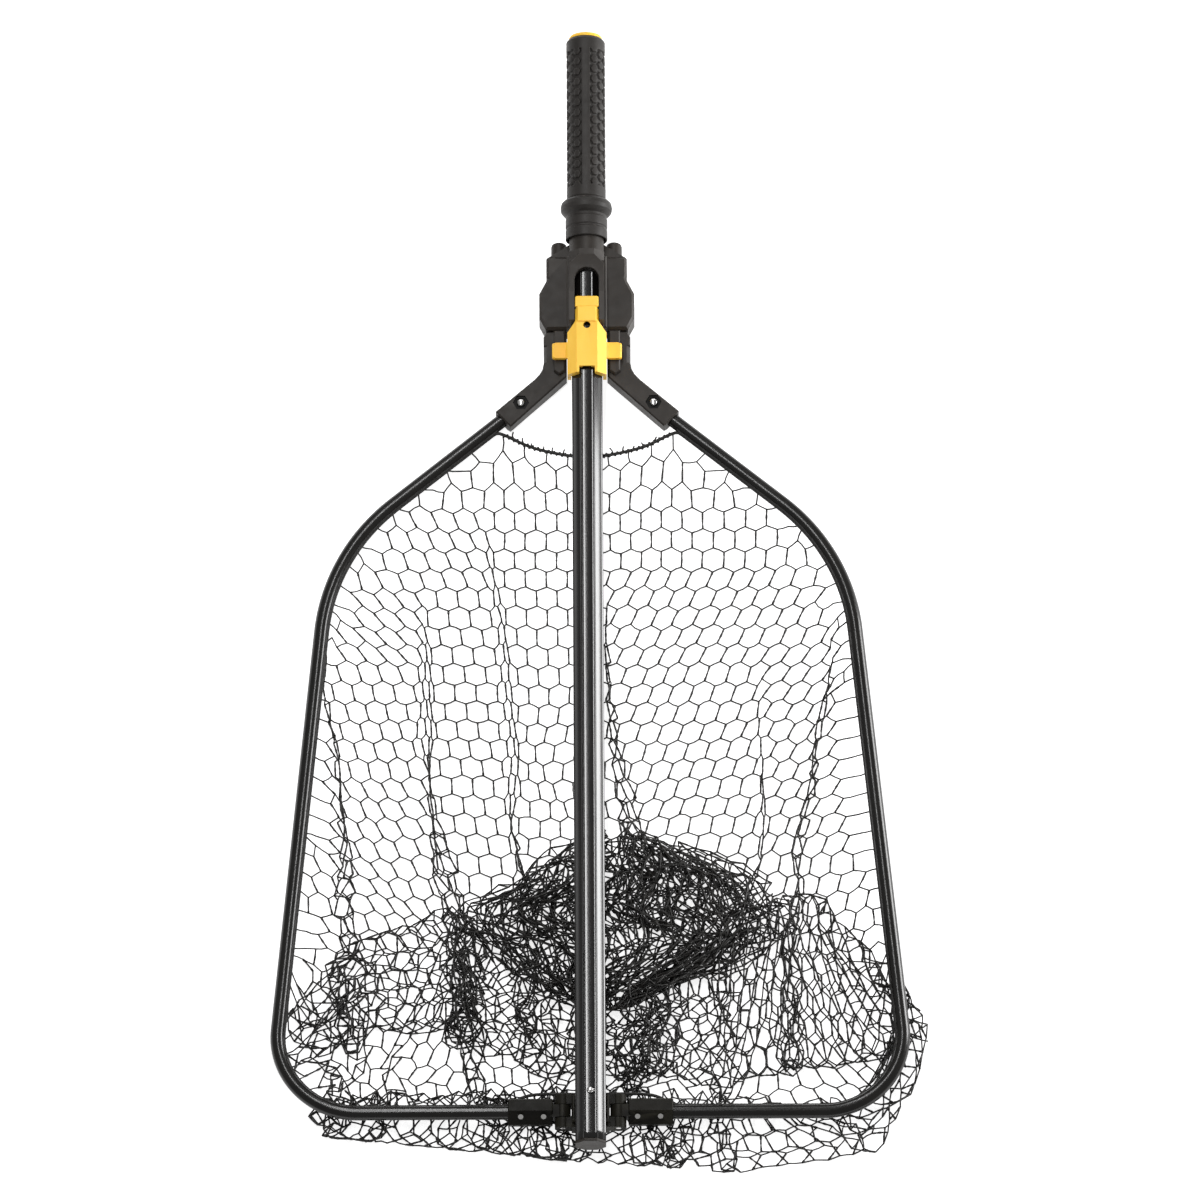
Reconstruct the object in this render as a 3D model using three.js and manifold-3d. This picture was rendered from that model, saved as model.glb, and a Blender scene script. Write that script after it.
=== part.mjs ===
// A folding landing net with a sliding octagonal handle, lying on its back with the handle stowed over the hoop.
// Millimetres, +Z up, +Y along the handle towards the grip. The origin is the middle of the yoke's flat underside.
// The hoop is two bent tubes. Each is clamped in a moulded arm at the yoke and in a bracket at the front, and both
// ends of a half turn on pins along one line parallel to the handle, so the halves fold up beside the handle like the
// covers of a book. The front link joins the two halves under the far end of the handle.
import * as THREE from "three";
import { mergeVertices } from "three/addons/utils/BufferGeometryUtils.js";
import Module from "manifold-3d";

const wasm = await Module();
wasm.setup();

// ---- driving dimensions ----
const AXIS_X = 25.7; // fold axis, each side of the handle
const AXIS_Z = 16; // fold axis and hoop plane height
const TUBE_Z = 38; // handle tube centre height
const TUBE_AF = 28.5; // handle tube across flats
const TUBE_WALL = 1.6;
const TUBE_END_Y = -838.3; // far end of the handle tube
const TUBE_TOP_Y = 240; // near end, inside the grip
const GRIP_R = 18.2;
const GRIP_Y0 = 84.3;
const GRIP_Y1 = 244;
const BUTTON_Y = -792.6;
const BUTTON_R = 3.1;
const HOOP_R = 6.5; // hoop tube outside radius
const HOOP_HOLE_R = 3.9;
const FRONT_Y = -802.5; // front tube centreline
const LINE1 = { x: 110.3, y: -149.7, dx: 0.776, dy: -0.631 }; // slanting tube from the arm
const LINE2 = { x: 251.6, y: -361, slope: 0.104 }; // side tube: x = 251.6 + 0.104 (-361 - y)
const SHOULDER_R = 185;
const CORNER_R = 74;
const SEAM_Y = -40; // where the arms meet the yoke
const LATCH_PIN = { y: -28, z: 55.6, r: 1.3 };
const GAP = 0.3;

// ---- helpers ----
function solid(geometry, matrix) {
  let g = geometry.index ? geometry.toNonIndexed() : geometry.clone();
  g = new THREE.BufferGeometry().setAttribute("position", g.getAttribute("position"));
  if (matrix) g.applyMatrix4(matrix);
  const m = mergeVertices(g, 1e-4);
  return new wasm.Manifold(
    new wasm.Mesh({ numProp: 3, vertProperties: m.attributes.position.array, triVerts: new Uint32Array(m.index.array) }),
  );
}
function geometryOf(manifold) {
  const mesh = manifold.getMesh();
  const g = new THREE.BufferGeometry();
  g.setAttribute("position", new THREE.BufferAttribute(new Float32Array(mesh.vertProperties), 3));
  g.setIndex(new THREE.BufferAttribute(new Uint32Array(mesh.triVerts), 1));
  const flat = g.toNonIndexed();
  flat.computeVertexNormals();
  return flat;
}
const V2 = (a, b) => new THREE.Vector2(a, b);
const basis = (x, y, z, t) => new THREE.Matrix4().makeBasis(x, y, z).setPosition(t);
const EX = new THREE.Vector3(1, 0, 0),
  EY = new THREE.Vector3(0, 1, 0),
  EZ = new THREE.Vector3(0, 0, 1);
function shapeOf(points, hole) {
  const s = new THREE.Shape(points.map(([a, b]) => V2(a, b)));
  if (hole) s.holes.push(new THREE.Path(hole.map(([a, b]) => V2(a, b))));
  return s;
}
function extruded(points, depth, hole, chamfer = 0) {
  const options = chamfer
    ? { depth: depth - 2 * chamfer, bevelEnabled: true, bevelThickness: chamfer, bevelSize: chamfer, bevelOffset: -chamfer, bevelSegments: 1, steps: 1 }
    : { depth, bevelEnabled: false, steps: 1 };
  const g = new THREE.ExtrudeGeometry(shapeOf(points, hole), options);
  if (chamfer) g.translate(0, 0, chamfer);
  return g;
}
// outline in x, y standing from z0 to z1
const upZ = (points, z0, z1, chamfer, hole) => solid(extruded(points, z1 - z0, hole, chamfer), new THREE.Matrix4().makeTranslation(0, 0, z0));
// outline in x, z running from y0 to y1
const alongY = (points, y0, y1, hole, chamfer) => solid(extruded(points, y1 - y0, hole, chamfer), basis(EX, EZ, new THREE.Vector3(0, -1, 0), new THREE.Vector3(0, y1, 0)));
// outline in y, z running from x0 to x1
const alongX = (points, x0, x1, chamfer) => solid(extruded(points, x1 - x0, null, chamfer), basis(EY, EZ, EX, new THREE.Vector3(x0, 0, 0)));
const box = (x0, x1, y0, y1, z0, z1) =>
  solid(new THREE.BoxGeometry(x1 - x0, y1 - y0, z1 - z0), new THREE.Matrix4().makeTranslation((x0 + x1) / 2, (y0 + y1) / 2, (z0 + z1) / 2));
const rodY = (r, y0, y1, x, z, n = 20) =>
  solid(new THREE.CylinderGeometry(r, r, y1 - y0, n), new THREE.Matrix4().makeTranslation(x, (y0 + y1) / 2, z));
const rodZ = (r, z0, z1, x, y, n = 20, r1 = r) =>
  solid(new THREE.CylinderGeometry(r1, r, z1 - z0, n), new THREE.Matrix4().makeTranslation(x, y, (z0 + z1) / 2).multiply(new THREE.Matrix4().makeRotationX(Math.PI / 2)));
const rodX = (r, x0, x1, y, z, n = 20) =>
  solid(new THREE.CylinderGeometry(r, r, x1 - x0, n), new THREE.Matrix4().makeTranslation((x0 + x1) / 2, y, z).multiply(new THREE.Matrix4().makeRotationZ(Math.PI / 2)));
function rod(r, a, b, n = 16) {
  const d = new THREE.Vector3().subVectors(b, a);
  const q = new THREE.Quaternion().setFromUnitVectors(EY, d.clone().normalize());
  const m = new THREE.Matrix4().compose(new THREE.Vector3().addVectors(a, b).multiplyScalar(0.5), q, new THREE.Vector3(1, 1, 1));
  return solid(new THREE.CylinderGeometry(r, r, d.length(), n), m);
}
// profile of [radius, y] turned about the handle's axis (or any axis parallel to it)
function turnedY(profile, x, z, n = 28) {
  return solid(new THREE.LatheGeometry(profile.map(([r, y]) => V2(r, y)), n), new THREE.Matrix4().makeTranslation(x, 0, z));
}
// octagon in x, z with flats up, down, left and right
function octagon(af, cz) {
  const r = af / 2 / Math.cos(Math.PI / 8);
  return Array.from({ length: 8 }, (_, k) => {
    const a = ((k + 0.5) * Math.PI) / 4;
    return [r * Math.cos(a), cz + r * Math.sin(a)];
  });
}
const circle = (r, n, cx = 0, cy = 0) =>
  Array.from({ length: n }, (_, k) => [cx + r * Math.cos((2 * Math.PI * k) / n), cy + r * Math.sin((2 * Math.PI * k) / n)]);
const mirrored = (m) => m.scale([-1, 1, 1]);
const union = (...s) => s.reduce((a, b) => a.add(b));
const cut = (a, ...s) => s.reduce((m, b) => m.subtract(b), a);

// A path given as rings, so that straight runs take no extra steps.
class RingPath extends THREE.Curve {
  constructor(points, tangents) {
    super();
    this.points = points;
    this.tangents = tangents;
  }
  at(list, u) {
    const f = Math.min(Math.max(u, 0), 1) * (list.length - 1);
    const i = Math.min(Math.floor(f), list.length - 2);
    return list[i].clone().lerp(list[i + 1], f - i);
  }
  getPoint(u) {
    return this.at(this.points, u);
  }
  getPointAt(u) {
    return this.at(this.points, u);
  }
  getTangent(u) {
    return this.at(this.tangents, u).normalize();
  }
  getTangentAt(u) {
    return this.getTangent(u);
  }
}
function tangentsOf(points) {
  return points.map((p, i) => new THREE.Vector3().subVectors(points[Math.min(i + 1, points.length - 1)], points[Math.max(i - 1, 0)]).normalize());
}
function sweep(shape, points, tangents = tangentsOf(points)) {
  return solid(new THREE.ExtrudeGeometry(shape, { steps: points.length - 1, bevelEnabled: false, extrudePath: new RingPath(points, tangents) }));
}

// ---- hoop centreline, right half: arm, shoulder, side, corner, front ----
const line2x = (y) => LINE2.x + LINE2.slope * (LINE2.y - y);
const line1y = (x) => LINE1.y + (LINE1.dy / LINE1.dx) * (x - LINE1.x);
const sideDir = new THREE.Vector2(LINE2.slope, -1).normalize(); // outwards and away from the yoke
function corner(ix, iy, d0, d1, radius, n) {
  // arc tangent to two lines that meet at (ix, iy), entering along d0 and leaving along d1
  const turn = Math.acos(d0.dot(d1));
  const t = radius * Math.tan(turn / 2);
  const a = V2(ix, iy).addScaledVector(d0, -t);
  const side = V2(d0.y, -d0.x); // right-hand side of d0: the bend turns clockwise
  const c = a.clone().addScaledVector(side, radius);
  const out = [];
  for (let k = 0; k <= n; k++) {
    const w = (-turn * k) / n;
    const rel = side.clone().multiplyScalar(-radius);
    out.push({
      p: V2(c.x + rel.x * Math.cos(w) - rel.y * Math.sin(w), c.y + rel.x * Math.sin(w) + rel.y * Math.cos(w)),
      t: V2(d0.x * Math.cos(w) - d0.y * Math.sin(w), d0.x * Math.sin(w) + d0.y * Math.cos(w)),
    });
  }
  return out;
}
const d1 = V2(LINE1.dx, LINE1.dy).normalize();
const slope1 = LINE1.dy / LINE1.dx;
// where the slanting line meets the side line
const ix1 = (() => {
  let x = 240;
  for (let k = 0; k < 40; k++) x = line2x(line1y(x));
  return x;
})();
const shoulder = corner(ix1, line1y(ix1), d1, sideDir, SHOULDER_R, 9);
const cornerArc = corner(line2x(FRONT_Y), FRONT_Y, sideDir, V2(-1, 0), CORNER_R, 13);
function hoopRings(xStart, xEnd) {
  const rings = [{ p: V2(xStart, LINE1.y + slope1 * (xStart - LINE1.x)), t: d1 }, ...shoulder, ...cornerArc, { p: V2(xEnd, FRONT_Y), t: V2(-1, 0) }];
  return rings;
}
function hoopShape() {
  // shape x runs along -Z and shape y points out of the mouth, so the cord groove is cut at -y
  const n = 16;
  const outline = [];
  const gc = 6.2,
    gr = 1.95;
  const half = Math.acos((HOOP_R * HOOP_R + gc * gc - gr * gr) / (2 * HOOP_R * gc));
  for (let k = 0; k <= n; k++) {
    const a = -Math.PI / 2 + half + ((2 * Math.PI - 2 * half) * k) / n;
    outline.push([HOOP_R * Math.cos(a), HOOP_R * Math.sin(a)]);
  }
  const first = Math.PI;
  const last = 0;
  for (let k = 1; k < 5; k++) {
    const a = first + ((last - first) * k) / 5;
    outline.push([gr * Math.cos(a), -gc + gr * Math.sin(a)]);
  }
  return shapeOf(outline, circle(HOOP_HOLE_R, 8).reverse());
}

// ---- materials ----
const plastic = new THREE.MeshStandardMaterial({ color: 0x35322f, roughness: 0.55, metalness: 0 });
const rubber = new THREE.MeshStandardMaterial({ color: 0x2e2c2b, roughness: 0.75, metalness: 0 });
const yellow = new THREE.MeshStandardMaterial({ color: 0xf7c331, roughness: 0.45, metalness: 0 });
const anodised = new THREE.MeshStandardMaterial({ color: 0x141416, roughness: 0.16, metalness: 0.9 });
const coated = new THREE.MeshStandardMaterial({ color: 0x191715, roughness: 0.3, metalness: 0.4 });
const steel = new THREE.MeshStandardMaterial({ color: 0xc9c9c9, roughness: 0.25, metalness: 1 });
const netting = new THREE.MeshStandardMaterial({ color: 0x0d0d0e, roughness: 0.6, metalness: 0 });
const cord = new THREE.MeshStandardMaterial({ color: 0x0b0b0c, roughness: 0.8, metalness: 0 });

const part = new THREE.Group();
const bodies = {};
function add(name, manifold, material, group) {
  const mesh = new THREE.Mesh(geometryOf(manifold), material);
  mesh.name = name;
  if (!bodies[group]) part.add((bodies[group] = new THREE.Group()));
  bodies[group].add(mesh);
}
const both = (name, make, material) => {
  const m = make();
  add(`right_${name}`, m, material, "right_half");
  add(`left_${name}`, mirrored(m), material, "left_half");
};

// ---- handle: octagonal tube, grip, cap, stop collar, end plug, snap button and its spring ----
{
  const bore = TUBE_AF - 2 * TUBE_WALL;
  let tube = alongY(octagon(TUBE_AF, TUBE_Z), TUBE_END_Y, TUBE_TOP_Y, octagon(bore, TUBE_Z).reverse());
  tube = cut(tube, rodZ(BUTTON_R + 0.35, TUBE_Z + 8, TUBE_Z + 20, 0, BUTTON_Y, 16));
  add("handle_tube", tube, anodised, "handle");

  const sleeve = octagon(TUBE_AF + 2 * GAP, TUBE_Z);
  let grip = turnedY([[0, GRIP_Y0], [GRIP_R - 0.8, GRIP_Y0], [GRIP_R, GRIP_Y0 + 1.2], [GRIP_R, GRIP_Y1 - 3], [GRIP_R - 2.2, GRIP_Y1], [0, GRIP_Y1]], 0, TUBE_Z, 36);
  grip = cut(grip, alongY(sleeve, GRIP_Y0 - 1, GRIP_Y1 + 1));
  add("grip", grip, rubber, "handle");

  const cap = turnedY([[0, 226], [11.6, 226], [12.2, 227], [12.2, GRIP_Y1 + 0.3], [15.6, GRIP_Y1 + 0.3], [15.6, GRIP_Y1 + 1.8], [14, GRIP_Y1 + 3.8], [11, GRIP_Y1 + 4.8], [0, GRIP_Y1 + 4.8]], 0, TUBE_Z, 28);
  add("grip_end_cap", cap, yellow, "handle");

  // bell that drops over the yoke's neck, two ribs, and a thick round flange
  let collar = turnedY(
    [
      [0, 45.2], [19, 45.2], [19.5, 46], [19.5, 54], [18.6, 55], [18.6, 56.4], [19.5, 57.4], [19.5, 65.4], [18.7, 66.4], [18.7, 68.4],
      [21.2, 70], [23.4, 72.4], [24.2, 75.6], [24.2, 78], [23.2, 81], [21, 83], [18.4, 84], [0, 84],
    ],
    0, TUBE_Z, 32,
  );
  collar = cut(collar, alongY(sleeve, 44, 85), rodY(17.7, 44, 56, 0, TUBE_Z, 28));
  add("stop_collar", collar, rubber, "handle");

  const plug = union(alongY(octagon(TUBE_AF, TUBE_Z), -841.6, TUBE_END_Y - GAP), alongY(octagon(bore - 0.7, TUBE_Z), -839, -818, octagon(bore - 5, TUBE_Z).reverse()));
  add("tube_end_plug", plug, plastic, "handle");

  const top = TUBE_Z + TUBE_AF / 2;
  const button = solid(
    new THREE.LatheGeometry([[0, 0], [5, 0], [5, 1.6], [BUTTON_R, 1.6], [BUTTON_R, 6.2], [2.5, 7.2], [1.3, 7.8], [0, 8]].map(([r, y]) => V2(r, y)), 20),
    new THREE.Matrix4().makeTranslation(0, BUTTON_Y, top - 4.7).multiply(new THREE.Matrix4().makeRotationX(Math.PI / 2)),
  );
  add("snap_button", button, steel, "snap_button");

  // bent leaf inside the tube, under the button
  const t = 0.9;
  const leafTop = top - 8.3;
  const bottom = TUBE_Z - bore / 2 + 0.4;
  const outer = [[BUTTON_Y - 6, leafTop], [BUTTON_Y + 8, leafTop], [BUTTON_Y + 44, (leafTop + bottom) / 2 + 3.2], [BUTTON_Y + 47, (leafTop + bottom) / 2], [BUTTON_Y + 44, (leafTop + bottom) / 2 - 3.2], [BUTTON_Y + 8, bottom], [BUTTON_Y - 6, bottom]];
  const inner = [[BUTTON_Y - 6, bottom + t], [BUTTON_Y + 8, bottom + t], [BUTTON_Y + 43, (leafTop + bottom) / 2 - 2], [BUTTON_Y + 45.6, (leafTop + bottom) / 2], [BUTTON_Y + 43, (leafTop + bottom) / 2 + 2], [BUTTON_Y + 8, leafTop - t], [BUTTON_Y - 6, leafTop - t]];
  add("button_spring", alongX([...outer, ...inner], -3, 3), steel, "handle");
}

// ---- yoke: front and rear shells clamped round the fold pins ----
{
  const outline = [[-36, 32], [36, 32], [37.7, 30], [37.7, 12.5], [36.8, 10.6], [37.6, 8.4], [44.4, -4.6], [44.4, -28.6], [38.4, SEAM_Y], [-38.4, SEAM_Y], [-44.4, -28.6], [-44.4, -4.6], [-37.6, 8.4], [-36.8, 10.6], [-37.7, 12.5], [-37.7, 30]];
  const barrel = alongY(octagon(33, TUBE_Z), SEAM_Y, 32);
  const neck = rodY(16.2, 30, 54, 0, TUBE_Z, 24);
  const web = upZ([[-16, 44.4], [-37, 31], [37, 31], [16, 44.4]], 24, 29);
  const rails = union(box(-16.4, -11.5, SEAM_Y, 8, 40, 58.2), box(11.5, 16.4, SEAM_Y, 8, 40, 58.2));
  const ramp = union(
    alongX([[7.9, 45], [7.9, 58.2], [20, 54.4], [20, 45]], -16.4, -11.5),
    alongX([[7.9, 45], [7.9, 58.2], [20, 54.4], [20, 45]], 11.5, 16.4),
  );
  const chest = upZ([[-19, 31.5], [19, 31.5], [19, SEAM_Y], [-19, SEAM_Y]], 20, 36, 1.5);
  const housing = upZ(outline, 2, 31.5, 2.4);
  const pad = upZ([[-30, 28], [30, 28], [34, 20], [34, -30], [28, -38.5], [-28, -38.5], [-34, -30], [-34, 20]], 0, 6);
  const tongue = upZ([[-9, -39.5], [9, -39.5], [9, -84], [6, -88], [-6, -88], [-9, -84]], 3, 23, 1);
  const bore = alongY(octagon(TUBE_AF + 2 * 0.35, TUBE_Z), -120, 80);
  const archPoints = [[-11.2, -60], [11.2, -60]];
  for (let k = 0; k <= 10; k++) archPoints.push([11.2 * Math.cos((Math.PI * k) / 10), 0.6 + 11.2 * Math.sin((Math.PI * k) / 10)]);
  const arch = upZ(archPoints, 40, 70);
  const pinBores = union(rodY(4.3, -60, 40, AXIS_X, AXIS_Z), rodY(4.3, -60, 40, -AXIS_X, AXIS_Z));
  const latchHole = rodX(LATCH_PIN.r + 0.25, -13.6, 13.6, LATCH_PIN.y, LATCH_PIN.z, 12);
  const whole = cut(union(housing, barrel, neck, web, rails, ramp, chest, pad, tongue), bore, arch, pinBores, latchHole);

  // cap screws from the rear, into blind bosses in the front shell
  const places = [[14, 24], [-14, 24], [16, -30], [-16, -30]];
  const screwHoles = union(...places.map(([x, y]) => union(rodZ(1.9, -1, 21, x, y, 12), rodZ(3.5, -1, 3.4, x, y, 16))));
  const front = cut(whole.subtract(box(-60, 60, -120, 80, -5, AXIS_Z + 0.15)), screwHoles);
  const rear = cut(whole.intersect(box(-60, 60, -120, 80, -5, AXIS_Z - 0.15)), screwHoles);
  add("yoke_front_shell", front, plastic, "yoke");
  add("yoke_rear_shell", rear, plastic, "yoke");
  places.forEach(([x, y], k) => add(`yoke_screw_${k + 1}`, union(rodZ(1.6, 2, 20, x, y, 10), rodZ(3.1, 0.6, 3.1, x, y, 14)), steel, "yoke"));

  for (const [name, s] of [["left", -1], ["right", 1]]) {
    add(`${name}_fold_pin`, rodY(4, -76, 44, s * AXIS_X, AXIS_Z, 20), steel, "yoke");
    const knob = turnedY([[0, 32.3], [7.4, 32.3], [7.4, 46.4], [6.6, 48.6], [4.4, 50], [0, 50.4]], s * AXIS_X, AXIS_Z, 24);
    add(`${name}_pin_cap`, cut(knob, rodY(4.3, 20, 44.4, s * AXIS_X, AXIS_Z, 20)), plastic, "yoke");
  }
  add("latch_pin", rodX(LATCH_PIN.r, -13.3, 13.3, LATCH_PIN.y, LATCH_PIN.z, 12), steel, "yoke");
}

// ---- latch: a shell over the tube that tips about its pin and holds both arms open ----
{
  const { y: py, z: pz } = LATCH_PIN;
  const wide = [[-18.2, 34.5], [-18.2, 49.5], [-9.6, 58], [9.6, 58], [18.2, 49.5], [18.2, 34.5]];
  const narrow = [[-10.9, 44], [-10.9, 56], [-8.2, 59.2], [8.2, 59.2], [10.9, 56], [10.9, 44]];
  const body = alongY(wide, -91.4, -50);
  // shoulders that taper from the neck to the full width
  const shoulders = upZ([[-18.2, -50.2], [-18.2, -50], [-10.9, -41], [10.9, -41], [18.2, -50], [18.2, -50.2]], 34.5, 58).intersect(alongY(wide, -60, -40));
  const neck = alongY(narrow, -41.5, -27.1).add(upZ([[-10.9, -27.2], [10.9, -27.2], [10.9, -18.2], [9.8, -16.8], [-9.8, -16.8], [-10.9, -18.2]], 56, 59.1, 0.6));
  const tab = [[16, 34.5], [16, 39.5], [20, 36.6], [31.2, 36.6], [32.5, 35.4], [32.5, 31.6], [22, 31.6]];
  const tabs = union(alongY(tab, -70.4, -55.1), alongY(tab.map(([x, z]) => [-x, z]).reverse(), -70.4, -55.1));
  let latch = union(body, shoulders, neck, tabs);
  const over = alongY(octagon(TUBE_AF + 1.2, TUBE_Z), -100, -10);
  const under = box(-14.85, 14.85, -100, -20, 0, TUBE_Z);
  const channel = box(-4.2, 4.2, -100, py - 8, 50, 55.6 + 0.3);
  const notch = box(-7.3, 7.3, -95, -85.4, 45, 62);
  const eye = rodZ(BUTTON_R + 0.3, 50, 62, 0, -45, 18);
  const pinHole = rodX(LATCH_PIN.r + 0.2, -20, 20, py, pz, 12);
  const springPocket = box(-5, 5, py - 3.7, py + 3.4, 45, 58.4);
  latch = cut(latch, over, under, channel, notch, eye, pinHole, springPocket);
  add("latch_lever", latch, yellow, "latch");

  // torsion spring wound on the latch pin
  const pts = [];
  const turns = 5,
    per = 9;
  for (let k = 0; k <= turns * per; k++) {
    const a = (2 * Math.PI * k) / per;
    pts.push(new THREE.Vector3(-4.2 + (8.4 * k) / (turns * per), py + 2.05 * Math.cos(a), pz + 2.05 * Math.sin(a)));
  }
  add("latch_spring", sweep(shapeOf(circle(0.38, 6)), pts), steel, "yoke");
}

// ---- hoop halves ----
const tubeStartX = 47,
  tubeEndX = 39.5;
both("hoop_tube", () => {
  const rings = hoopRings(tubeStartX, tubeEndX);
  let tube = sweep(hoopShape(), rings.map((r) => new THREE.Vector3(r.p.x, r.p.y, AXIS_Z)), rings.map((r) => new THREE.Vector3(r.t.x, r.t.y, 0)));
  const bolt = rodZ(2.4, 0, 40, 61.8, line1y(61.8), 14);
  const n = new THREE.Vector3(0, -0.643, 0.766);
  const rivet = (x) => rod(1.9, new THREE.Vector3(x, FRONT_Y, AXIS_Z).addScaledVector(n, -20), new THREE.Vector3(x, FRONT_Y, AXIS_Z).addScaledVector(n, 20), 12);
  return cut(tube, bolt, rivet(43.4), rivet(64.6));
}, coated);

both("arm", () => {
  const plan = [[18.9, SEAM_Y - 0.35], [37.4, SEAM_Y - 0.35], [40.5, -46], [40.5, -72], [41.6, -77.5], [44.4, -82.4], [49, -87.4], [85.4, -119], [71.4, -134.2], [18.9, -84.8]];
  const slab = upZ(plan, 6, 26, 1.2);
  const ridge = upZ([[20.3, SEAM_Y - 0.35], [31, SEAM_Y - 0.35], [31, -80], [26, -84], [20.3, -80]], 20, 30, 1.3);
  const d = new THREE.Vector3(d1.x, d1.y, 0);
  const mid = new THREE.Vector3(61.8, line1y(61.8), AXIS_Z);
  const socket = rod(HOOP_R + GAP, mid.clone().addScaledVector(d, -20), mid.clone().addScaledVector(d, 60), 24);
  const sweepRoom = box(18, 60, -71.4, -54.1, AXIS_Z, 60).subtract(rodY(15.1, -72, -54, AXIS_X, AXIS_Z, 40));
  const bolt = rodZ(2.4, 0, 40, 61.8, mid.y, 14);
  const hex = upZ(circle(7.6, 6).map(([a, b]) => [61.8 + a, mid.y + b]), 24.4, 30);
  const well = rodZ(4.9, 23.6, 30, 61.8, mid.y, 20);
  const head = rodZ(4.9, 0, 8, 61.8, mid.y, 20);
  const groove = rod(2.2, mid.clone().addScaledVector(d, 26).add(new THREE.Vector3(-0.631, -0.776, 0).multiplyScalar(6.2)), mid.clone().addScaledVector(d, 60).add(new THREE.Vector3(-0.631, -0.776, 0).multiplyScalar(6.2)), 12);
  // the lower front edge is cut back at 45 degrees under the slanting run
  const inward = new THREE.Vector3(-0.631, -0.776, 0);
  const underside = solid(extruded([[6.1, 5], [14.5, 5], [14.5, 13.4]], 120), basis(inward, EZ, d.clone().negate(), new THREE.Vector3(mid.x, mid.y, 0).addScaledVector(d, 50)));
  return cut(union(slab, ridge), underside, rodY(4.3, -79, 0, AXIS_X, AXIS_Z), socket, sweepRoom, bolt, hex, well, head, groove);
}, plastic);

both("arm_bolt", () => union(rodZ(2.05, 7, 23.5, 61.8, line1y(61.8), 14), rodZ(4.4, 6.3, 7.7, 61.8, line1y(61.8), 20)), steel);
both("arm_nut", () => {
  const y = line1y(61.8);
  const dome = solid(new THREE.LatheGeometry([[0, 0], [3.7, 0], [3.7, 1.7], [3, 2.7], [1.6, 3.2], [0, 3.3]].map(([a, b]) => V2(a, b)), 20), new THREE.Matrix4().makeTranslation(61.8, y, 23.9).multiply(new THREE.Matrix4().makeRotationX(Math.PI / 2)));
  return dome;
}, steel);

both("front_bracket", () => {
  const y = FRONT_Y;
  const clamp = alongX([[y - 10.4, 6.4], [y - 8.6, 5.6], [y + 10.6, 5.6], [y + 11.6, 7], [y + 11.6, 22], [y + 9.6, 25], [y - 1.2, 26], [y - 11.6, 15.4]], 35, 76.4, 0.8);
  const web = box(AXIS_X, 37, y - 5.9, y + 5.9, 9.5, 22.5);
  const knuckle = rodY(7.4, y - 5.9, y + 5.9, AXIS_X, AXIS_Z, 20);
  const socket = rodX(HOOP_R + GAP, 38.8, 90, y, AXIS_Z, 24);
  const groove = box(36, 90, y, y + 8.6, AXIS_Z - 2.1, AXIS_Z + 2.1);
  const exit = box(66, 90, y + 5, y + 20, AXIS_Z - 2.2, AXIS_Z + 2.2);
  const n = new THREE.Vector3(0, -0.643, 0.766);
  const rivet = (x) => rod(1.9, new THREE.Vector3(x, y, AXIS_Z).addScaledVector(n, -20), new THREE.Vector3(x, y, AXIS_Z).addScaledVector(n, 20), 12);
  return cut(union(clamp, web, knuckle), rodY(3.3, y - 20, y + 20, AXIS_X, AXIS_Z, 16), socket, groove, exit, rivet(43.4), rivet(64.6));
}, plastic);

const rivetAt = (() => {
  const n = new THREE.Vector3(0, -0.643, 0.766);
  const make = (x) => {
    const c = new THREE.Vector3(x, FRONT_Y, AXIS_Z);
    return union(rod(1.5, c.clone().addScaledVector(n, -6.6), c.clone().addScaledVector(n, 9.6), 12), rod(2.5, c.clone().addScaledVector(n, 8.9), c.clone().addScaledVector(n, 10), 14));
  };
  return make;
})();
both("rivet_inner", () => rivetAt(43.4), steel);
both("rivet_outer", () => rivetAt(64.6), steel);

// ---- front hinge link: holds both front pins on the fold axes and cradles the stowed tube ----
{
  const y = FRONT_Y;
  const block = upZ([[-17.6, y - 16], [17.6, y - 16], [17.6, y + 16], [-17.6, y + 16]], 2.2, 23.3, 1);
  const flanks = alongY([[-16.9, 8], [-16.9, 32.4], [-16.2, 33.4], [-14.9, 33.4], [-14.9, 20], [14.9, 20], [14.9, 33.4], [16.2, 33.4], [16.9, 32.4], [16.9, 8]], y - 12, y + 12);
  let link = union(block, flanks);
  for (const s of [-1, 1]) {
    link = link.subtract(rodY(8.2, y - 6.4, y + 6.4, s * AXIS_X, AXIS_Z, 24));
    for (const [a, b] of [[y - 16, y - 6.4], [y + 6.4, y + 16]]) link = link.add(rodY(7.4, a, b, s * AXIS_X, AXIS_Z, 20)).add(box(s > 0 ? 15 : -AXIS_X, s > 0 ? AXIS_X : -15, a, b, 9.2, 22.6));
  }
  link = cut(link, alongY(octagon(TUBE_AF + 0.8, TUBE_Z), y - 40, y + 40), rodY(3.3, y - 40, y + 40, AXIS_X, AXIS_Z, 16), rodY(3.3, y - 40, y + 40, -AXIS_X, AXIS_Z, 16));
  add("front_hinge_link", link, plastic, "front_link");
  for (const [name, s] of [["left", -1], ["right", 1]]) add(`${name}_front_pin`, rodY(3, y - 15.6, y + 15.6, s * AXIS_X, AXIS_Z, 16), steel, "front_link");
}

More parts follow.
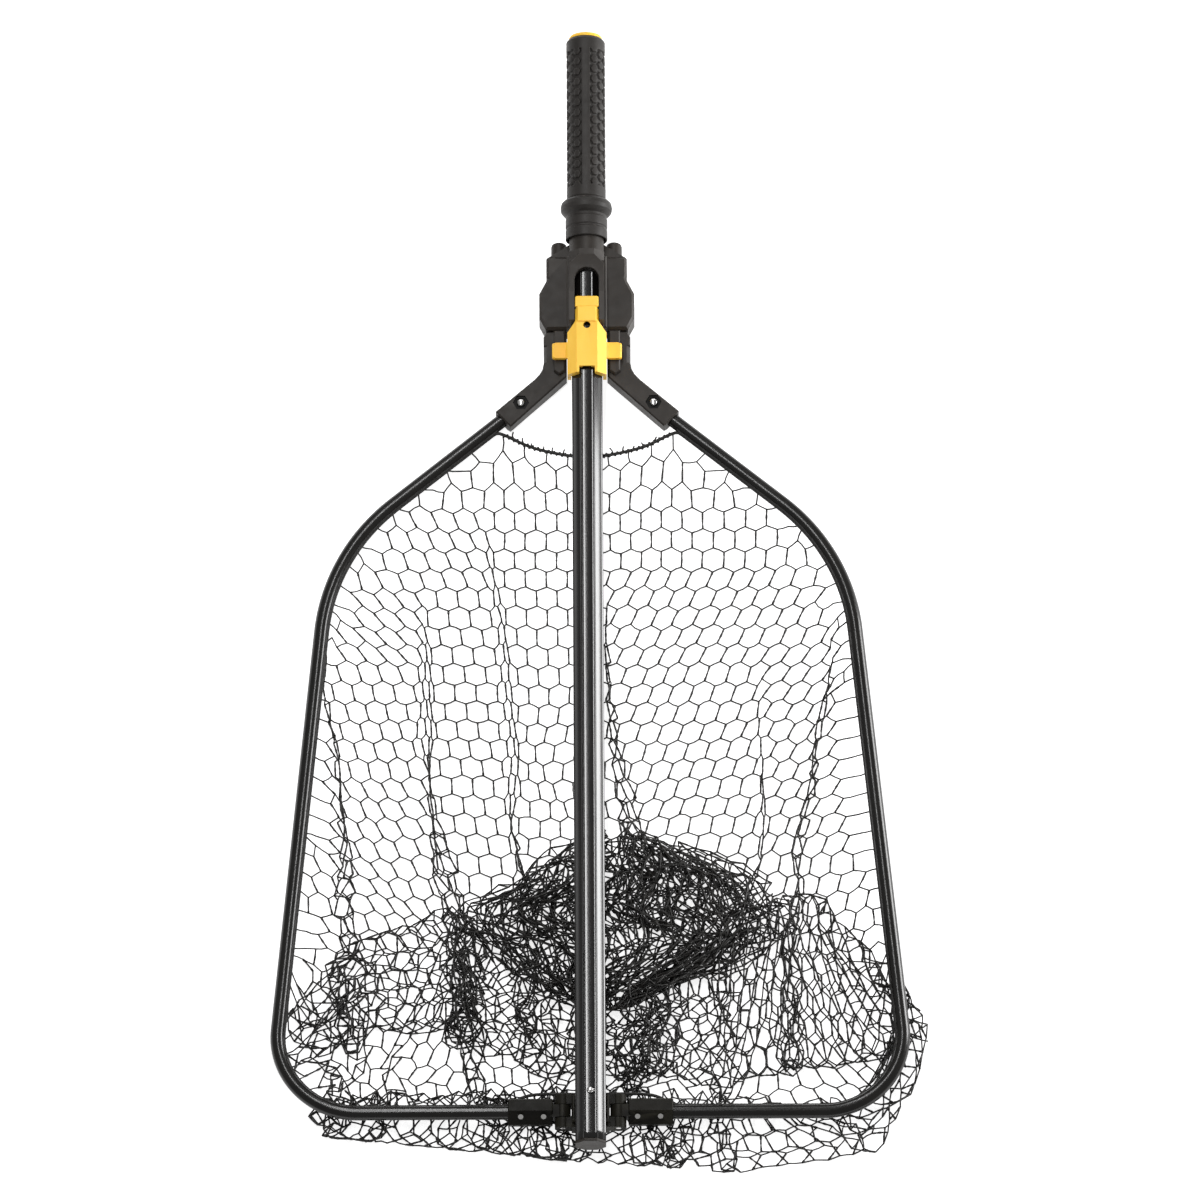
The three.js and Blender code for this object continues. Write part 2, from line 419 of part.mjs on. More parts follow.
// ---- rim cord: in the hoop tube's groove, and hanging across the gap at the yoke ----
const CORD_R = 1.6;
{
  const off = 6.2;
  const rings = hoopRings(88, 78);
  const inside = rings.map((r) => new THREE.Vector3(r.p.x + r.t.y * off, r.p.y - r.t.x * off, AXIS_Z));
  // in front of the arm's end the cord leaves the groove and hangs towards the middle
  const lead = [[22, -157, 9.4], [34, -153.2, 9.8], [46, -148.6, 10.4], [58, -144.2, 11.4], [68, -141.2, 12.8], [75, -139.3, 14.2], [80, -138, 15.4]].map(([x, y, z]) => new THREE.Vector3(x, y, z));
  const tail = [[70, FRONT_Y + 10, AXIS_Z], [66, FRONT_Y + 13.6, AXIS_Z - 0.5], [58, FRONT_Y + 16.8, 14.6], [48, FRONT_Y + 18.6, 13], [38, FRONT_Y + 19.4, 11.6], [30, FRONT_Y + 19.6, 10.6]].map(([x, y, z]) => new THREE.Vector3(x, y, z));
  const points = [...lead, ...inside.slice(0, -1), new THREE.Vector3(78, FRONT_Y + off + 0.4, AXIS_Z), ...tail];
  both("rim_cord", () => sweep(shapeOf(circle(CORD_R, 8)), points), cord);
  const middle = (y, z, sag) => [-20, -12, 0, 12, 20].map((x) => new THREE.Vector3(x, y - sag * (1 - (x / 20) ** 2), z - 0.6 * (1 - (x / 20) ** 2)));
  add("rear_cord_span", sweep(shapeOf(circle(CORD_R, 8)), middle(-157, 9, 2.4)), cord, "yoke");
  add("front_cord_span", sweep(shapeOf(circle(CORD_R, 8)), middle(FRONT_Y + 19.8, 9.6, 0.4)), cord, "front_link");
}

// ---- net bag, collapsed on the ground inside the hoop: one plain solid for each body that it hangs on ----
{
  const table = (rows, y) => {
    for (let k = 0; k < rows.length - 1; k++) {
      const [y0, v0] = rows[k],
        [y1, v1] = rows[k + 1];
      if (y <= y0 && y >= y1) return v0 + ((v1 - v0) * (y0 - y)) / (y0 - y1);
    }
    return y > rows[0][0] ? rows[0][1] : rows[rows.length - 1][1];
  };
  const height = (x, y) => {
    let h = 4 + 20 * Math.exp(-(((x - 28) / 88) ** 2) - ((y + 617) / 62) ** 2) + 5 * Math.exp(-(((Math.abs(x) - 160) / 80) ** 2) - ((y + 720) / 40) ** 2);
    if (Math.abs(x) < 30) h = Math.min(h, 22.6);
    if (y < -765) h = Math.min(h, 4.6);
    return h;
  };
  function slab(ys, x0, x1, columns, hAt = height) {
    const top = [],
      bottom = [],
      index = [];
    ys.forEach((y) => {
      for (let i = 0; i <= columns; i++) {
        const x = x0(y) + ((x1(y) - x0(y)) * i) / columns;
        top.push(x, y, hAt(x, y));
        bottom.push(x, y, 0);
      }
    });
    const w = columns + 1,
      n = ys.length * w;
    const quad = (a, b, c, d) => index.push(a, b, c, a, c, d);
    for (let j = 0; j < ys.length - 1; j++)
      for (let i = 0; i < columns; i++) {
        const a = j * w + i;
        quad(a, a + w, a + w + 1, a + 1);
        quad(n + a, n + a + 1, n + a + w + 1, n + a + w);
      }
    for (let j = 0; j < ys.length - 1; j++) {
      const a = j * w,
        b = j * w + columns;
      quad(a, n + a, n + a + w, a + w);
      quad(b, b + w, n + b + w, n + b);
    }
    for (let i = 0; i < columns; i++) {
      quad(i, i + 1, n + i + 1, n + i);
      const c = (ys.length - 1) * w + i;
      quad(c, n + c, n + c + 1, c + 1);
    }
    const g = new THREE.BufferGeometry();
    g.setAttribute("position", new THREE.BufferAttribute(new Float32Array([...top, ...bottom]), 3));
    g.setIndex(index);
    return solid(g);
  }
  const ys = [-166, -200, -232, -266, -305, -350, -440, -520, -560, -590, -620, -650, -685, -705, -727, -760, -790];
  const rightEdge = [[-166, 112], [-200, 150], [-232, 181], [-266, 206], [-305, 229], [-350, 239], [-520, 258], [-685, 276], [-705, 310], [-727, 320], [-760, 317], [-790, 301], [-801, 296], [-826, 278], [-852, 260], [-861, 222]];
  const leftEdge = [[-166, 112], [-200, 150], [-232, 181], [-266, 206], [-305, 229], [-350, 239], [-520, 258], [-685, 276], [-705, 282], [-727, 288], [-760, 287], [-790, 270], [-812, 256], [-829, 196], [-845, 62]];
  const inner = (y) => (y < -772 ? 48 : 44);
  add("net_bag_right", slab([...ys, -801, -826, -852, -861], inner, (y) => table(rightEdge, y), 6), netting, "right_half");
  add("net_bag_left", slab([...ys, -812, -829, -845], (y) => -table(leftEdge, y), (y) => -inner(y), 6), netting, "left_half");
  const mid = [-170, -260, -440, -520, -560, -590, -620, -650, -685, -712, -741, -772];
  add("net_bag_middle", slab(mid, () => -28, () => 28, 4), netting, "yoke");
}

export default part;
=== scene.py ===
import math

import bmesh
import bpy
import numpy as np
from mathutils import Matrix, Vector


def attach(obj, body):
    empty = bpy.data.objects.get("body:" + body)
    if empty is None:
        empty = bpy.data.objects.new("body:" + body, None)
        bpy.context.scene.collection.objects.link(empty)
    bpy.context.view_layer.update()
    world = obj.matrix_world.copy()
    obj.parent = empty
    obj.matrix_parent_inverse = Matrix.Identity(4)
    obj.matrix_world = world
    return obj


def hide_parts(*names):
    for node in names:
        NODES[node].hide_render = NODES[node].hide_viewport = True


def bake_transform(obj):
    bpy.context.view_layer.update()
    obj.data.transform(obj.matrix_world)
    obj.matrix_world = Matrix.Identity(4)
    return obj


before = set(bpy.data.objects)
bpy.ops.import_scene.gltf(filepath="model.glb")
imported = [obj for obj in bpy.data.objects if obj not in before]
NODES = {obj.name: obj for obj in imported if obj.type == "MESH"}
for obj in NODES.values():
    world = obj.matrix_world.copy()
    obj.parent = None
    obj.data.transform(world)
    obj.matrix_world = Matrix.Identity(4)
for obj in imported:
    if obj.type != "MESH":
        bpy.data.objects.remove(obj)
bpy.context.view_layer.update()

scene = bpy.context.scene
scene.view_settings.view_transform = "Standard"
scene.view_settings.look = "None"

# ---------------------------------------------------------------- camera
ELEVATION = math.radians(71.0)
TARGET = Vector((0.0110, -0.3020, 0.016))
DISTANCE = 24.0
camera_data = bpy.data.cameras.new("camera")
camera_data.sensor_width = 36.0
camera_data.lens = 36.0 * DISTANCE / 1.116
camera_data.clip_start, camera_data.clip_end = 0.05, 90
camera = bpy.data.objects.new("camera", camera_data)
scene.collection.objects.link(camera)
back = Vector((0, -math.cos(ELEVATION), math.sin(ELEVATION)))
camera.location = TARGET + back * DISTANCE
camera.rotation_mode = "QUATERNION"
camera.rotation_quaternion = (-back).to_track_quat("-Z", "Y") @ Matrix.Rotation(math.radians(-0.28), 3, "Z").to_quaternion()
scene.camera = camera


# ---------------------------------------------------------------- materials
def new_material(name):
    m = bpy.data.materials.new(name)
    m.use_nodes = True
    nt = m.node_tree
    shader = next(n for n in nt.nodes if n.type == "BSDF_PRINCIPLED")
    coords = nt.nodes.new("ShaderNodeTexCoord")
    return m, nt, shader, coords.outputs["Object"]


def scaled(nt, vector, scale):
    n = nt.nodes.new("ShaderNodeMapping")
    n.inputs["Scale"].default_value = scale
    nt.links.new(vector, n.inputs["Vector"])
    return n.outputs["Vector"]


def noise(nt, vector, scale, detail=3.0, rough=0.55, distortion=0.0):
    n = nt.nodes.new("ShaderNodeTexNoise")
    n.inputs["Scale"].default_value = scale
    n.inputs["Detail"].default_value = detail
    n.inputs["Roughness"].default_value = rough
    n.inputs["Distortion"].default_value = distortion
    nt.links.new(vector, n.inputs["Vector"])
    return n.outputs["Fac"]


def ranged(nt, value, lo, hi, to_lo, to_hi):
    n = nt.nodes.new("ShaderNodeMapRange")
    n.inputs["From Min"].default_value = lo
    n.inputs["From Max"].default_value = hi
    n.inputs["To Min"].default_value = to_lo
    n.inputs["To Max"].default_value = to_hi
    nt.links.new(value, n.inputs["Value"])
    return n.outputs["Result"]


def mixed(nt, factor, a, b):
    n = nt.nodes.new("ShaderNodeMix")
    n.data_type = "RGBA"
    nt.links.new(factor, n.inputs[0])
    for socket, value in ((n.inputs[6], a), (n.inputs[7], b)):
        if isinstance(value, tuple):
            socket.default_value = (*value, 1)
        else:
            nt.links.new(value, socket)
    return n.outputs[2]


def bump(nt, height, strength, distance, normal=None):
    n = nt.nodes.new("ShaderNodeBump")
    n.inputs["Strength"].default_value = strength
    n.inputs["Distance"].default_value = distance
    nt.links.new(height, n.inputs["Height"])
    if normal is not None:
        nt.links.new(normal, n.inputs["Normal"])
    return n.outputs["Normal"]


def edge_wear_and_crease_shade(nt, lo=0.52, hi=0.60):
    # pointiness mask: high on convex edges for the rubbed wear, low in creases and recesses for painted shade
    g = nt.nodes.new("ShaderNodeNewGeometry")
    return ranged(nt, g.outputs["Pointiness"], lo, hi, 0.0, 1.0)


def moulded(name, dark, light, rough, grain=1500.0, grain_depth=0.00006, strength=0.5, wear=None, specular=0.5, sss=0.0, coat=0.0, hollow_shade=None):
    """A moulded plastic: cloudy tone, fine etched grain, edges rubbed a little paler, and, when a colour for the
    hollows is given, painted shade darkening its creases and recesses.
    """
    m, nt, shader, co = new_material(name)
    cloud = ranged(nt, noise(nt, co, 38.0, 4.0), 0.3, 0.7, 0.0, 1.0)
    colour = mixed(nt, cloud, dark, light)
    speck = ranged(nt, noise(nt, co, 900.0, 2.0), 0.60, 0.78, 0.0, 0.35)
    colour = mixed(nt, speck, colour, tuple(min(1.0, c * 1.35) for c in light))
    if wear is not None:
        colour = mixed(nt, edge_wear_and_crease_shade(nt), colour, wear)
    if hollow_shade is not None:
        # painted shade: creases and recesses, where pointiness is low, are darkened towards the hollows' colour
        colour = mixed(nt, edge_wear_and_crease_shade(nt, 0.40, 0.49), hollow_shade, colour)
    nt.links.new(colour, shader.inputs["Base Color"])
    nt.links.new(ranged(nt, noise(nt, co, 120.0, 5.0), 0.25, 0.75, rough[0], rough[1]), shader.inputs["Roughness"])
    shader.inputs["Specular IOR Level"].default_value = specular
    if sss:
        shader.inputs["Subsurface Weight"].default_value = sss
        shader.inputs["Subsurface Radius"].default_value = (1.0, 0.6, 0.25)
        shader.inputs["Subsurface Scale"].default_value = 0.002
    if coat:
        shader.inputs["Coat Weight"].default_value = coat
        shader.inputs["Coat Roughness"].default_value = 0.25
    fine = bump(nt, noise(nt, co, grain, 2.0, 0.6), strength, grain_depth)
    nt.links.new(bump(nt, noise(nt, co, 60.0, 2.0), 0.25, 0.0004, fine), shader.inputs["Normal"])
    return m


def drawn_metal(name, dark, light, rough, metallic, streak=(1, 0.02, 1), streak_scale=2200.0, depth=0.00002, specular=0.5, coat=0.0):
    """A drawn or extruded metal finish: faint lines along the draw and a slightly uneven polish."""
    m, nt, shader, co = new_material(name)
    lines = noise(nt, scaled(nt, co, streak), streak_scale, 3.0, 0.6)
    cloud = noise(nt, co, 25.0, 4.0)
    nt.links.new(mixed(nt, ranged(nt, cloud, 0.3, 0.7, 0.0, 1.0), dark, light), shader.inputs["Base Color"])
    nt.links.new(ranged(nt, lines, 0.25, 0.75, rough[0], rough[1]), shader.inputs["Roughness"])
    shader.inputs["Metallic"].default_value = metallic
    shader.inputs["Specular IOR Level"].default_value = specular
    if coat:
        shader.inputs["Coat Weight"].default_value = coat
        shader.inputs["Coat Roughness"].default_value = 0.06
    nt.links.new(bump(nt, lines, 0.15, depth, bump(nt, noise(nt, co, 9.0, 2.0), 0.08, 0.0003)), shader.inputs["Normal"])
    return m


BLACK_PLASTIC = moulded("yoke_plastic", (0.0185, 0.0155, 0.013), (0.027, 0.0225, 0.019), (0.44, 0.56), 1700.0, 0.00006, 0.5, wear=(0.038, 0.033, 0.029), specular=0.22)
BRACKET_PLASTIC = moulded("bracket_plastic", (0.0052, 0.0047, 0.0036), (0.0090, 0.0080, 0.0058), (0.40, 0.54), 1900.0, 0.00005, 0.4, wear=(0.024, 0.022, 0.016), specular=0.11)
# painted shade: a darker plastic laid on the walls and floor of the arm's nut pocket to stand for the shade in that
# recess
POCKET_PAINTED_SHADE = moulded("pocket_painted_shade", (0.0032, 0.0028, 0.0024), (0.0052, 0.0046, 0.0040), (0.5, 0.62), 1700.0, 0.00006, 0.5, specular=0.15)
# the grip rubber takes painted shade in the hollows between its studs
RUBBER = moulded("grip_rubber", (0.016, 0.014, 0.0125), (0.024, 0.021, 0.019), (0.46, 0.62), 1200.0, 0.00009, 0.6, wear=(0.050, 0.044, 0.039), specular=0.28, hollow_shade=(0.0045, 0.004, 0.0035))
YELLOW = moulded("latch_plastic", (0.89, 0.49, 0.036), (0.92, 0.54, 0.052), (0.40, 0.52), 1500.0, 0.00004, 0.4, wear=(0.93, 0.56, 0.060), specular=0.30, sss=0.12)
HANDLE = drawn_metal("handle_anodised", (0.0035, 0.003, 0.003), (0.006, 0.005, 0.0045), (0.10, 0.125), 0.0, (1, 0.006, 1), 900.0, 0.000001, specular=0.5)
HOOP = drawn_metal("hoop_coating", (0.0045, 0.004, 0.0035), (0.009, 0.008, 0.007), (0.18, 0.28), 0.0, (1, 1, 1), 500.0, 0.00001, specular=0.4)
# painted shade: steel darkened and dulled for the latch pin, so that it reads as the shaded notch it sits in
SHADED_PIN_STEEL = drawn_metal("pin_steel_painted_shade", (0.018, 0.018, 0.019), (0.032, 0.031, 0.030), (0.38, 0.52), 1.0, (1, 1, 1), 1600.0)
STEEL = drawn_metal("bright_steel", (0.62, 0.61, 0.60), (0.78, 0.77, 0.75), (0.12, 0.30), 1.0, (1, 1, 1), 1600.0)


def twine_material():
    m, nt, shader, co = new_material("coated_mesh")
    cloud = ranged(nt, noise(nt, co, 90.0, 3.0), 0.3, 0.7, 0.0, 1.0)
    nt.links.new(mixed(nt, cloud, (0.007, 0.0065, 0.006), (0.016, 0.014, 0.012)), shader.inputs["Base Color"])
    nt.links.new(ranged(nt, noise(nt, co, 260.0, 3.0), 0.3, 0.7, 0.34, 0.6), shader.inputs["Roughness"])
    nt.links.new(bump(nt, noise(nt, co, 2600.0, 2.0), 0.6, 0.0001), shader.inputs["Normal"])
    return m


def cord_material():
    m, nt, shader, co = new_material("braided_cord")
    cloud = ranged(nt, noise(nt, co, 300.0, 3.0), 0.3, 0.7, 0.0, 1.0)
    nt.links.new(mixed(nt, cloud, (0.008, 0.0075, 0.007), (0.022, 0.020, 0.018)), shader.inputs["Base Color"])
    nt.links.new(ranged(nt, noise(nt, co, 500.0, 3.0), 0.3, 0.7, 0.55, 0.85), shader.inputs["Roughness"])
    nt.links.new(bump(nt, noise(nt, co, 3200.0, 2.0), 0.7, 0.00012), shader.inputs["Normal"])
    return m


TWINE = twine_material()
CORD = cord_material()


# ---------------------------------------------------------------- mesh helpers
def add_object(name, mesh, material):
    o = bpy.data.objects.new(name, mesh)
    scene.collection.objects.link(o)
    mesh.materials.clear()
    mesh.materials.append(material)
    return o


def smooth_by_angle(mesh, degrees):
    bm = bmesh.new()
    bm.from_mesh(mesh)
    limit = math.radians(degrees)
    for f in bm.faces:
        f.smooth = True
    for e in bm.edges:
        e.smooth = not (len(e.link_faces) == 2 and e.calc_face_angle(0.0) > limit)
    bm.to_mesh(mesh)
    bm.free()


def finish_piece(o, body, nodes):
    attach(o, body)
    if nodes:
        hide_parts(*nodes)
    return o


def refined(node, name, material, body, width=0.0005, segments=2, angle=24.0, keep=None, corners=None):
    """The node's exact solid with its flat faces merged and its hard edges rounded over."""
    bm = bmesh.new()
    bm.from_mesh(NODES[node].data)
    bmesh.ops.remove_doubles(bm, verts=bm.verts, dist=1e-6)
    bmesh.ops.dissolve_limit(bm, angle_limit=math.radians(0.6), verts=bm.verts, edges=bm.edges, delimit=set())
    if corners is not None:
        picked = [e for e in bm.edges if corners(e)]
        bmesh.ops.bevel(bm, geom=picked, offset=0.0021, offset_type="OFFSET", segments=5, profile=0.5, affect="EDGES", clamp_overlap=True, harden_normals=False)
    limit = math.radians(angle)
    hard = [e for e in bm.edges if len(e.link_faces) == 2 and e.calc_face_angle(0.0) > limit and (keep is None or keep(e))]
    bmesh.ops.bevel(bm, geom=hard, offset=width, offset_type="OFFSET", segments=segments, profile=0.5, affect="EDGES", clamp_overlap=True, harden_normals=False)
    bmesh.ops.triangulate(bm, faces=[f for f in bm.faces if len(f.verts) > 4], quad_method="BEAUTY", ngon_method="BEAUTY")
    mesh = bpy.data.meshes.new(name)
    bm.to_mesh(mesh)
    bm.free()
    smooth_by_angle(mesh, 38)
    o = add_object(name, mesh, material)
    w = o.modifiers.new("faces", "WEIGHTED_NORMAL")
    w.keep_sharp = True
    w.weight = 80
    return finish_piece(o, body, [node])


def grid_mesh(name, rings, closed=True, caps=True):
    """Quads between successive rings of points; end rings closed with a flat face."""
    rings = np.asarray(rings, float)
    k, n, _ = rings.shape
    verts = rings.reshape(-1, 3)
    faces = []
    for j in range(k - 1):
        for i in range(n if closed else n - 1):
            a, b = j * n + i, j * n + (i + 1) % n
            faces.append((a, b, b + n, a + n))
    if caps:
        faces.append(tuple(range(n))[::-1])
        faces.append(tuple(range((k - 1) * n, k * n)))
    mesh = bpy.data.meshes.new(name)
    mesh.from_pydata([tuple(v) for v in verts], [], faces)
    bm = bmesh.new()
    bm.from_mesh(mesh)
    bmesh.ops.recalc_face_normals(bm, faces=bm.faces)
    bm.to_mesh(mesh)
    bm.free()
    mesh.update()
    return mesh


def turned(profile, x, z, n=96):
    """Closed ring-shaped or solid body turned about an axis parallel to Y; profile is radius, y in mm, closed on itself."""
    rings = []
    for r, y in profile:
        rings.append([(x + r * math.cos(a), y, z + r * math.sin(a)) for a in (2 * math.pi * i / n for i in range(n))])
    rings = np.array(rings) * 0.001
    k = len(profile)
    faces = []
    for j in range(k):
        for i in range(n):
            a, b = j * n + i, j * n + (i + 1) % n
            c, d = ((j + 1) % k) * n + (i + 1) % n, ((j + 1) % k) * n + i
            faces.append((a, b, c, d))
    mesh = bpy.data.meshes.new("turned")
    mesh.from_pydata([tuple(v) for v in rings.reshape(-1, 3)], [], faces)
    bm = bmesh.new()
    bm.from_mesh(mesh)
    bmesh.ops.remove_doubles(bm, verts=bm.verts, dist=1e-6)
    bmesh.ops.dissolve_degenerate(bm, edges=bm.edges, dist=1e-6)
    bmesh.ops.recalc_face_normals(bm, faces=bm.faces)
    bm.to_mesh(mesh)
    bm.free()
    return mesh


def rounded(points, radius, steps=4):
    """A profile with its corners rounded; each point may carry its own radius as a third value."""
    out = []
    n = len(points)
    for i in range(n):
        p = np.array(points[i][:2], float)
        a, b = np.array(points[i - 1][:2], float), np.array(points[(i + 1) % n][:2], float)
        r = points[i][2] if len(points[i]) > 2 else radius
        if r <= 0:
            out.append(tuple(p))
            continue
        u, v = a - p, b - p
        lu, lv = np.linalg.norm(u), np.linalg.norm(v)
        u, v = u / lu, v / lv
        ang = math.acos(float(np.clip(u @ v, -1, 1)))
        if ang > math.radians(176):
            out.append(tuple(p))
            continue
        t = min(r / math.tan(ang / 2), lu * 0.45, lv * 0.45)
        s, e = p + u * t, p + v * t
        for k in range(steps + 1):
            w = k / steps
            q = (1 - w) ** 2 * s + 2 * w * (1 - w) * p + w * w * e
            out.append(tuple(q))
    return out


# ---------------------------------------------------------------- handle
TUBE_Z, TUBE_AF = 38.0, 28.5


def octagon_section(af, radius, crown, per_face=6, per_corner=5):
    """Rounded octagon with very slightly crowned flats, flats up, down, left and right."""
    h = af / 2
    half = h * math.tan(math.pi / 8)
    flat = half - radius * math.tan(math.pi / 8)
    points = []
    for k in range(8):
        a = k * math.pi / 4
        nx, nz = math.cos(a), math.sin(a)
        tx, tz = -nz, nx
        for i in range(per_face + 1):
            s = -flat + 2 * flat * i / per_face
            d = h - crown * (s / half) ** 2
            points.append((nx * d + tx * s, nz * d + tz * s))
        corner = (nx * (h - radius) + tx * flat, nz * (h - radius) + tz * flat)
        for i in range(1, per_corner):
            b = a + math.pi / 4 * i / per_corner
            points.append((corner[0] + radius * math.cos(b), corner[1] + radius * math.sin(b)))
    return points


def handle_tube():
    outer = octagon_section(TUBE_AF, 2.6, 0.20, 10)
    inner = octagon_section(TUBE_AF - 3.2, 1.4, 0.0, 10)
    ys = [-838.3, -837.9, -830, -815, -800, -797, -792.6, -788, -780, -700, -600, -500, -400, -300, -200, -100, -60, -20, 20, 60, 120, 180, 239.6, 240]
    rings = []
    for y in ys:
        shrink = 0.985 if y in (-838.3, 240) else 1.0
        rings.append([(x * shrink, y, TUBE_Z + z * shrink) for x, z in outer])
    for y in ys[::-1]:
        rings.append([(x, y, TUBE_Z + z) for x, z in inner])
    rings.append(rings[0])
    mesh = grid_mesh("handle_tube_body", np.array(rings) * 0.001, caps=False)
    bm = bmesh.new()
    bm.from_mesh(mesh)
    bmesh.ops.remove_doubles(bm, verts=bm.verts, dist=1e-6)
    bmesh.ops.recalc_face_normals(bm, faces=bm.faces)
    bm.to_mesh(mesh)
    bm.free()
    o = add_object("handle_tube_body", mesh, HANDLE)
    # the hole that the snap button comes through
    bpy.ops.mesh.primitive_cylinder_add(vertices=40, radius=0.0036, depth=0.012, location=(0, -0.7926, 0.0515))
    tool = bpy.context.object
    cut = o.modifiers.new("hole", "BOOLEAN")
    cut.object, cut.operation, cut.solver = tool, "DIFFERENCE", "EXACT"
    dg = bpy.context.evaluated_depsgraph_get()
    done = bpy.data.meshes.new_from_object(o.evaluated_get(dg))
    o.modifiers.clear()
    o.data = done
    bpy.data.objects.remove(tool)
    smooth_by_angle(done, 40)
    done.materials.clear()
    done.materials.append(HANDLE)
    return finish_piece(o, "handle", ["handle_tube"])


handle_tube()


def grip():
    """Soft grip: two panels of raised hexagonal studs either side of a smooth band."""
    y0, y1, radius = 84.3, 244.0, 18.2
    n_theta, n_y = 250, 330
    theta = np.linspace(0, 2 * np.pi, n_theta, endpoint=False)
    y = np.linspace(y0, y1, n_y)
    T, Y = np.meshgrid(theta, y)  # rows along y; theta 0 is +X, pi / 2 is up
    from_top = np.abs((T - np.pi / 2 + np.pi) % (2 * np.pi) - np.pi)
    arc = from_top * radius  # mm round from the middle of the top
    side = np.where(np.cos(T) >= 0, 1, -1)
    half_round = np.pi * radius

    def smooth(v, lo, hi):
        t = np.clip((v - lo) / (hi - lo), 0, 1)
        return t * t * (3 - 2 * t)

    panel = smooth(arc, 3.8, 4.9) * smooth(half_round - arc, 3.8, 4.9) * smooth(Y, 95.5, 96.8) * smooth(231.4 - Y, 0.0, 1.3)
    # staggered studs: columns round the grip, every other one shifted half a pitch along it
    pitch_y, pitch_a = 10.2, 8.2
    col = np.round((arc - 9.0) / pitch_a)
    best = np.full_like(arc, 1e9)
    for dc in (-1, 0, 1):
        c = col + dc
        ca = 9.0 + c * pitch_a
        off = np.where(np.mod(c, 2) == 0, 0.0, 0.5) + np.where(side > 0, 0.25, 0.0)
        row = np.round((Y - 96.0) / pitch_y - off)
        for dr in (-1, 0, 1):
            cy = 96.0 + (row + dr + off) * pitch_y
            u, v = np.abs(arc - ca), np.abs(Y - cy)
            d = np.maximum(v, u * 0.866 + v * 0.5)
            best = np.minimum(best, d)
    stud = 1 - smooth(best, 3.0, 3.9)
    crown = np.clip(1 - (best / 4.2) ** 2, 0, 1)
    r = radius - panel * (2.0 - 1.75 * stud - 0.28 * crown * stud)
    # rounded ends and a shallow swell in the middle
    r -= 0.9 * (1 - smooth(Y, y0, y0 + 1.4)) + 2.2 * (1 - smooth(y1 - Y, 0.0, 3.4)) ** 1.5
    pts = np.stack([r * np.cos(T), Y, TUBE_Z + r * np.sin(T)], -1) * 0.001
    rings = [[(15.8e-3 * math.cos(t), y0 * 1e-3, (TUBE_Z + 15.8 * math.sin(t)) * 1e-3) for t in theta]]
    rings += [list(map(tuple, p)) for p in pts]
    rings += [[(15.8e-3 * math.cos(t), yy * 1e-3, (TUBE_Z + 15.8 * math.sin(t)) * 1e-3) for t in theta] for yy in (y1, y0)]
    mesh = grid_mesh("grip_sleeve", np.array(rings), caps=False)
    bm = bmesh.new()
    bm.from_mesh(mesh)
    bmesh.ops.remove_doubles(bm, verts=bm.verts, dist=1e-6)
    bmesh.ops.recalc_face_normals(bm, faces=bm.faces)
    bm.to_mesh(mesh)
    bm.free()
    smooth_by_angle(mesh, 55)
    return finish_piece(add_object("grip_sleeve", mesh, RUBBER), "handle", ["grip"])


grip()

cap_profile = rounded(
    [(0.0, 226.0, 0), (11.6, 226.0, 0.4), (12.2, 227.0, 0.2), (12.2, 244.3, 0), (15.6, 244.3, 0.3), (15.6, 246.0, 0.5), (14.2, 247.9, 1.2), (11.0, 248.8, 1.5), (0.0, 248.8, 0)],
    0.4,
)
cap_mesh = turned(cap_profile, 0.0, TUBE_Z, 96)
smooth_by_angle(cap_mesh, 40)
finish_piece(add_object("end_cap_dome", cap_mesh, YELLOW), "handle", ["grip_end_cap"])

collar_profile = rounded(
    [
        (17.75, 45.2, 0.2), (19.1, 45.2, 0.4), (19.5, 45.8, 0.3), (19.5, 54.2, 0.5), (18.6, 55.2, 0.5), (18.6, 56.4, 0.5), (19.5, 57.4, 0.5), (19.5, 65.2, 0.6), (18.7, 66.2, 0.5),
        (18.7, 68.6, 1.0), (21.4, 70.4, 1.2), (23.6, 73.0, 1.8), (24.2, 76.6, 2.4), (23.4, 80.6, 2.2), (20.8, 83.2, 1.4), (18.3, 84.0, 0.4), (15.7, 84.0, 0.1), (15.7, 56.1, 0.1), (17.75, 56.1, 0.1),
    ],
    0.5,
)
collar_mesh = turned(collar_profile, 0.0, TUBE_Z, 120)
smooth_by_angle(collar_mesh, 45)
finish_piece(add_object("collar_bell", collar_mesh, RUBBER), "handle", ["stop_collar"])

# ---------------------------------------------------------------- yoke, arms, brackets, latch and hardware
refined("yoke_front_shell", "yoke_front_body", BLACK_PLASTIC, "yoke", 0.0007, 3)
refined("yoke_rear_shell", "yoke_rear_body", BLACK_PLASTIC, "yoke", 0.0005, 2)


def tab_corner(e):
    """The upright edges at the outer ends of the latch's two tabs."""
    (ax, ay, _), (bx, by, _) = e.verts[0].co, e.verts[1].co
    return min(abs(ax), abs(bx)) > 0.0310 and abs(ay - by) < 1e-5


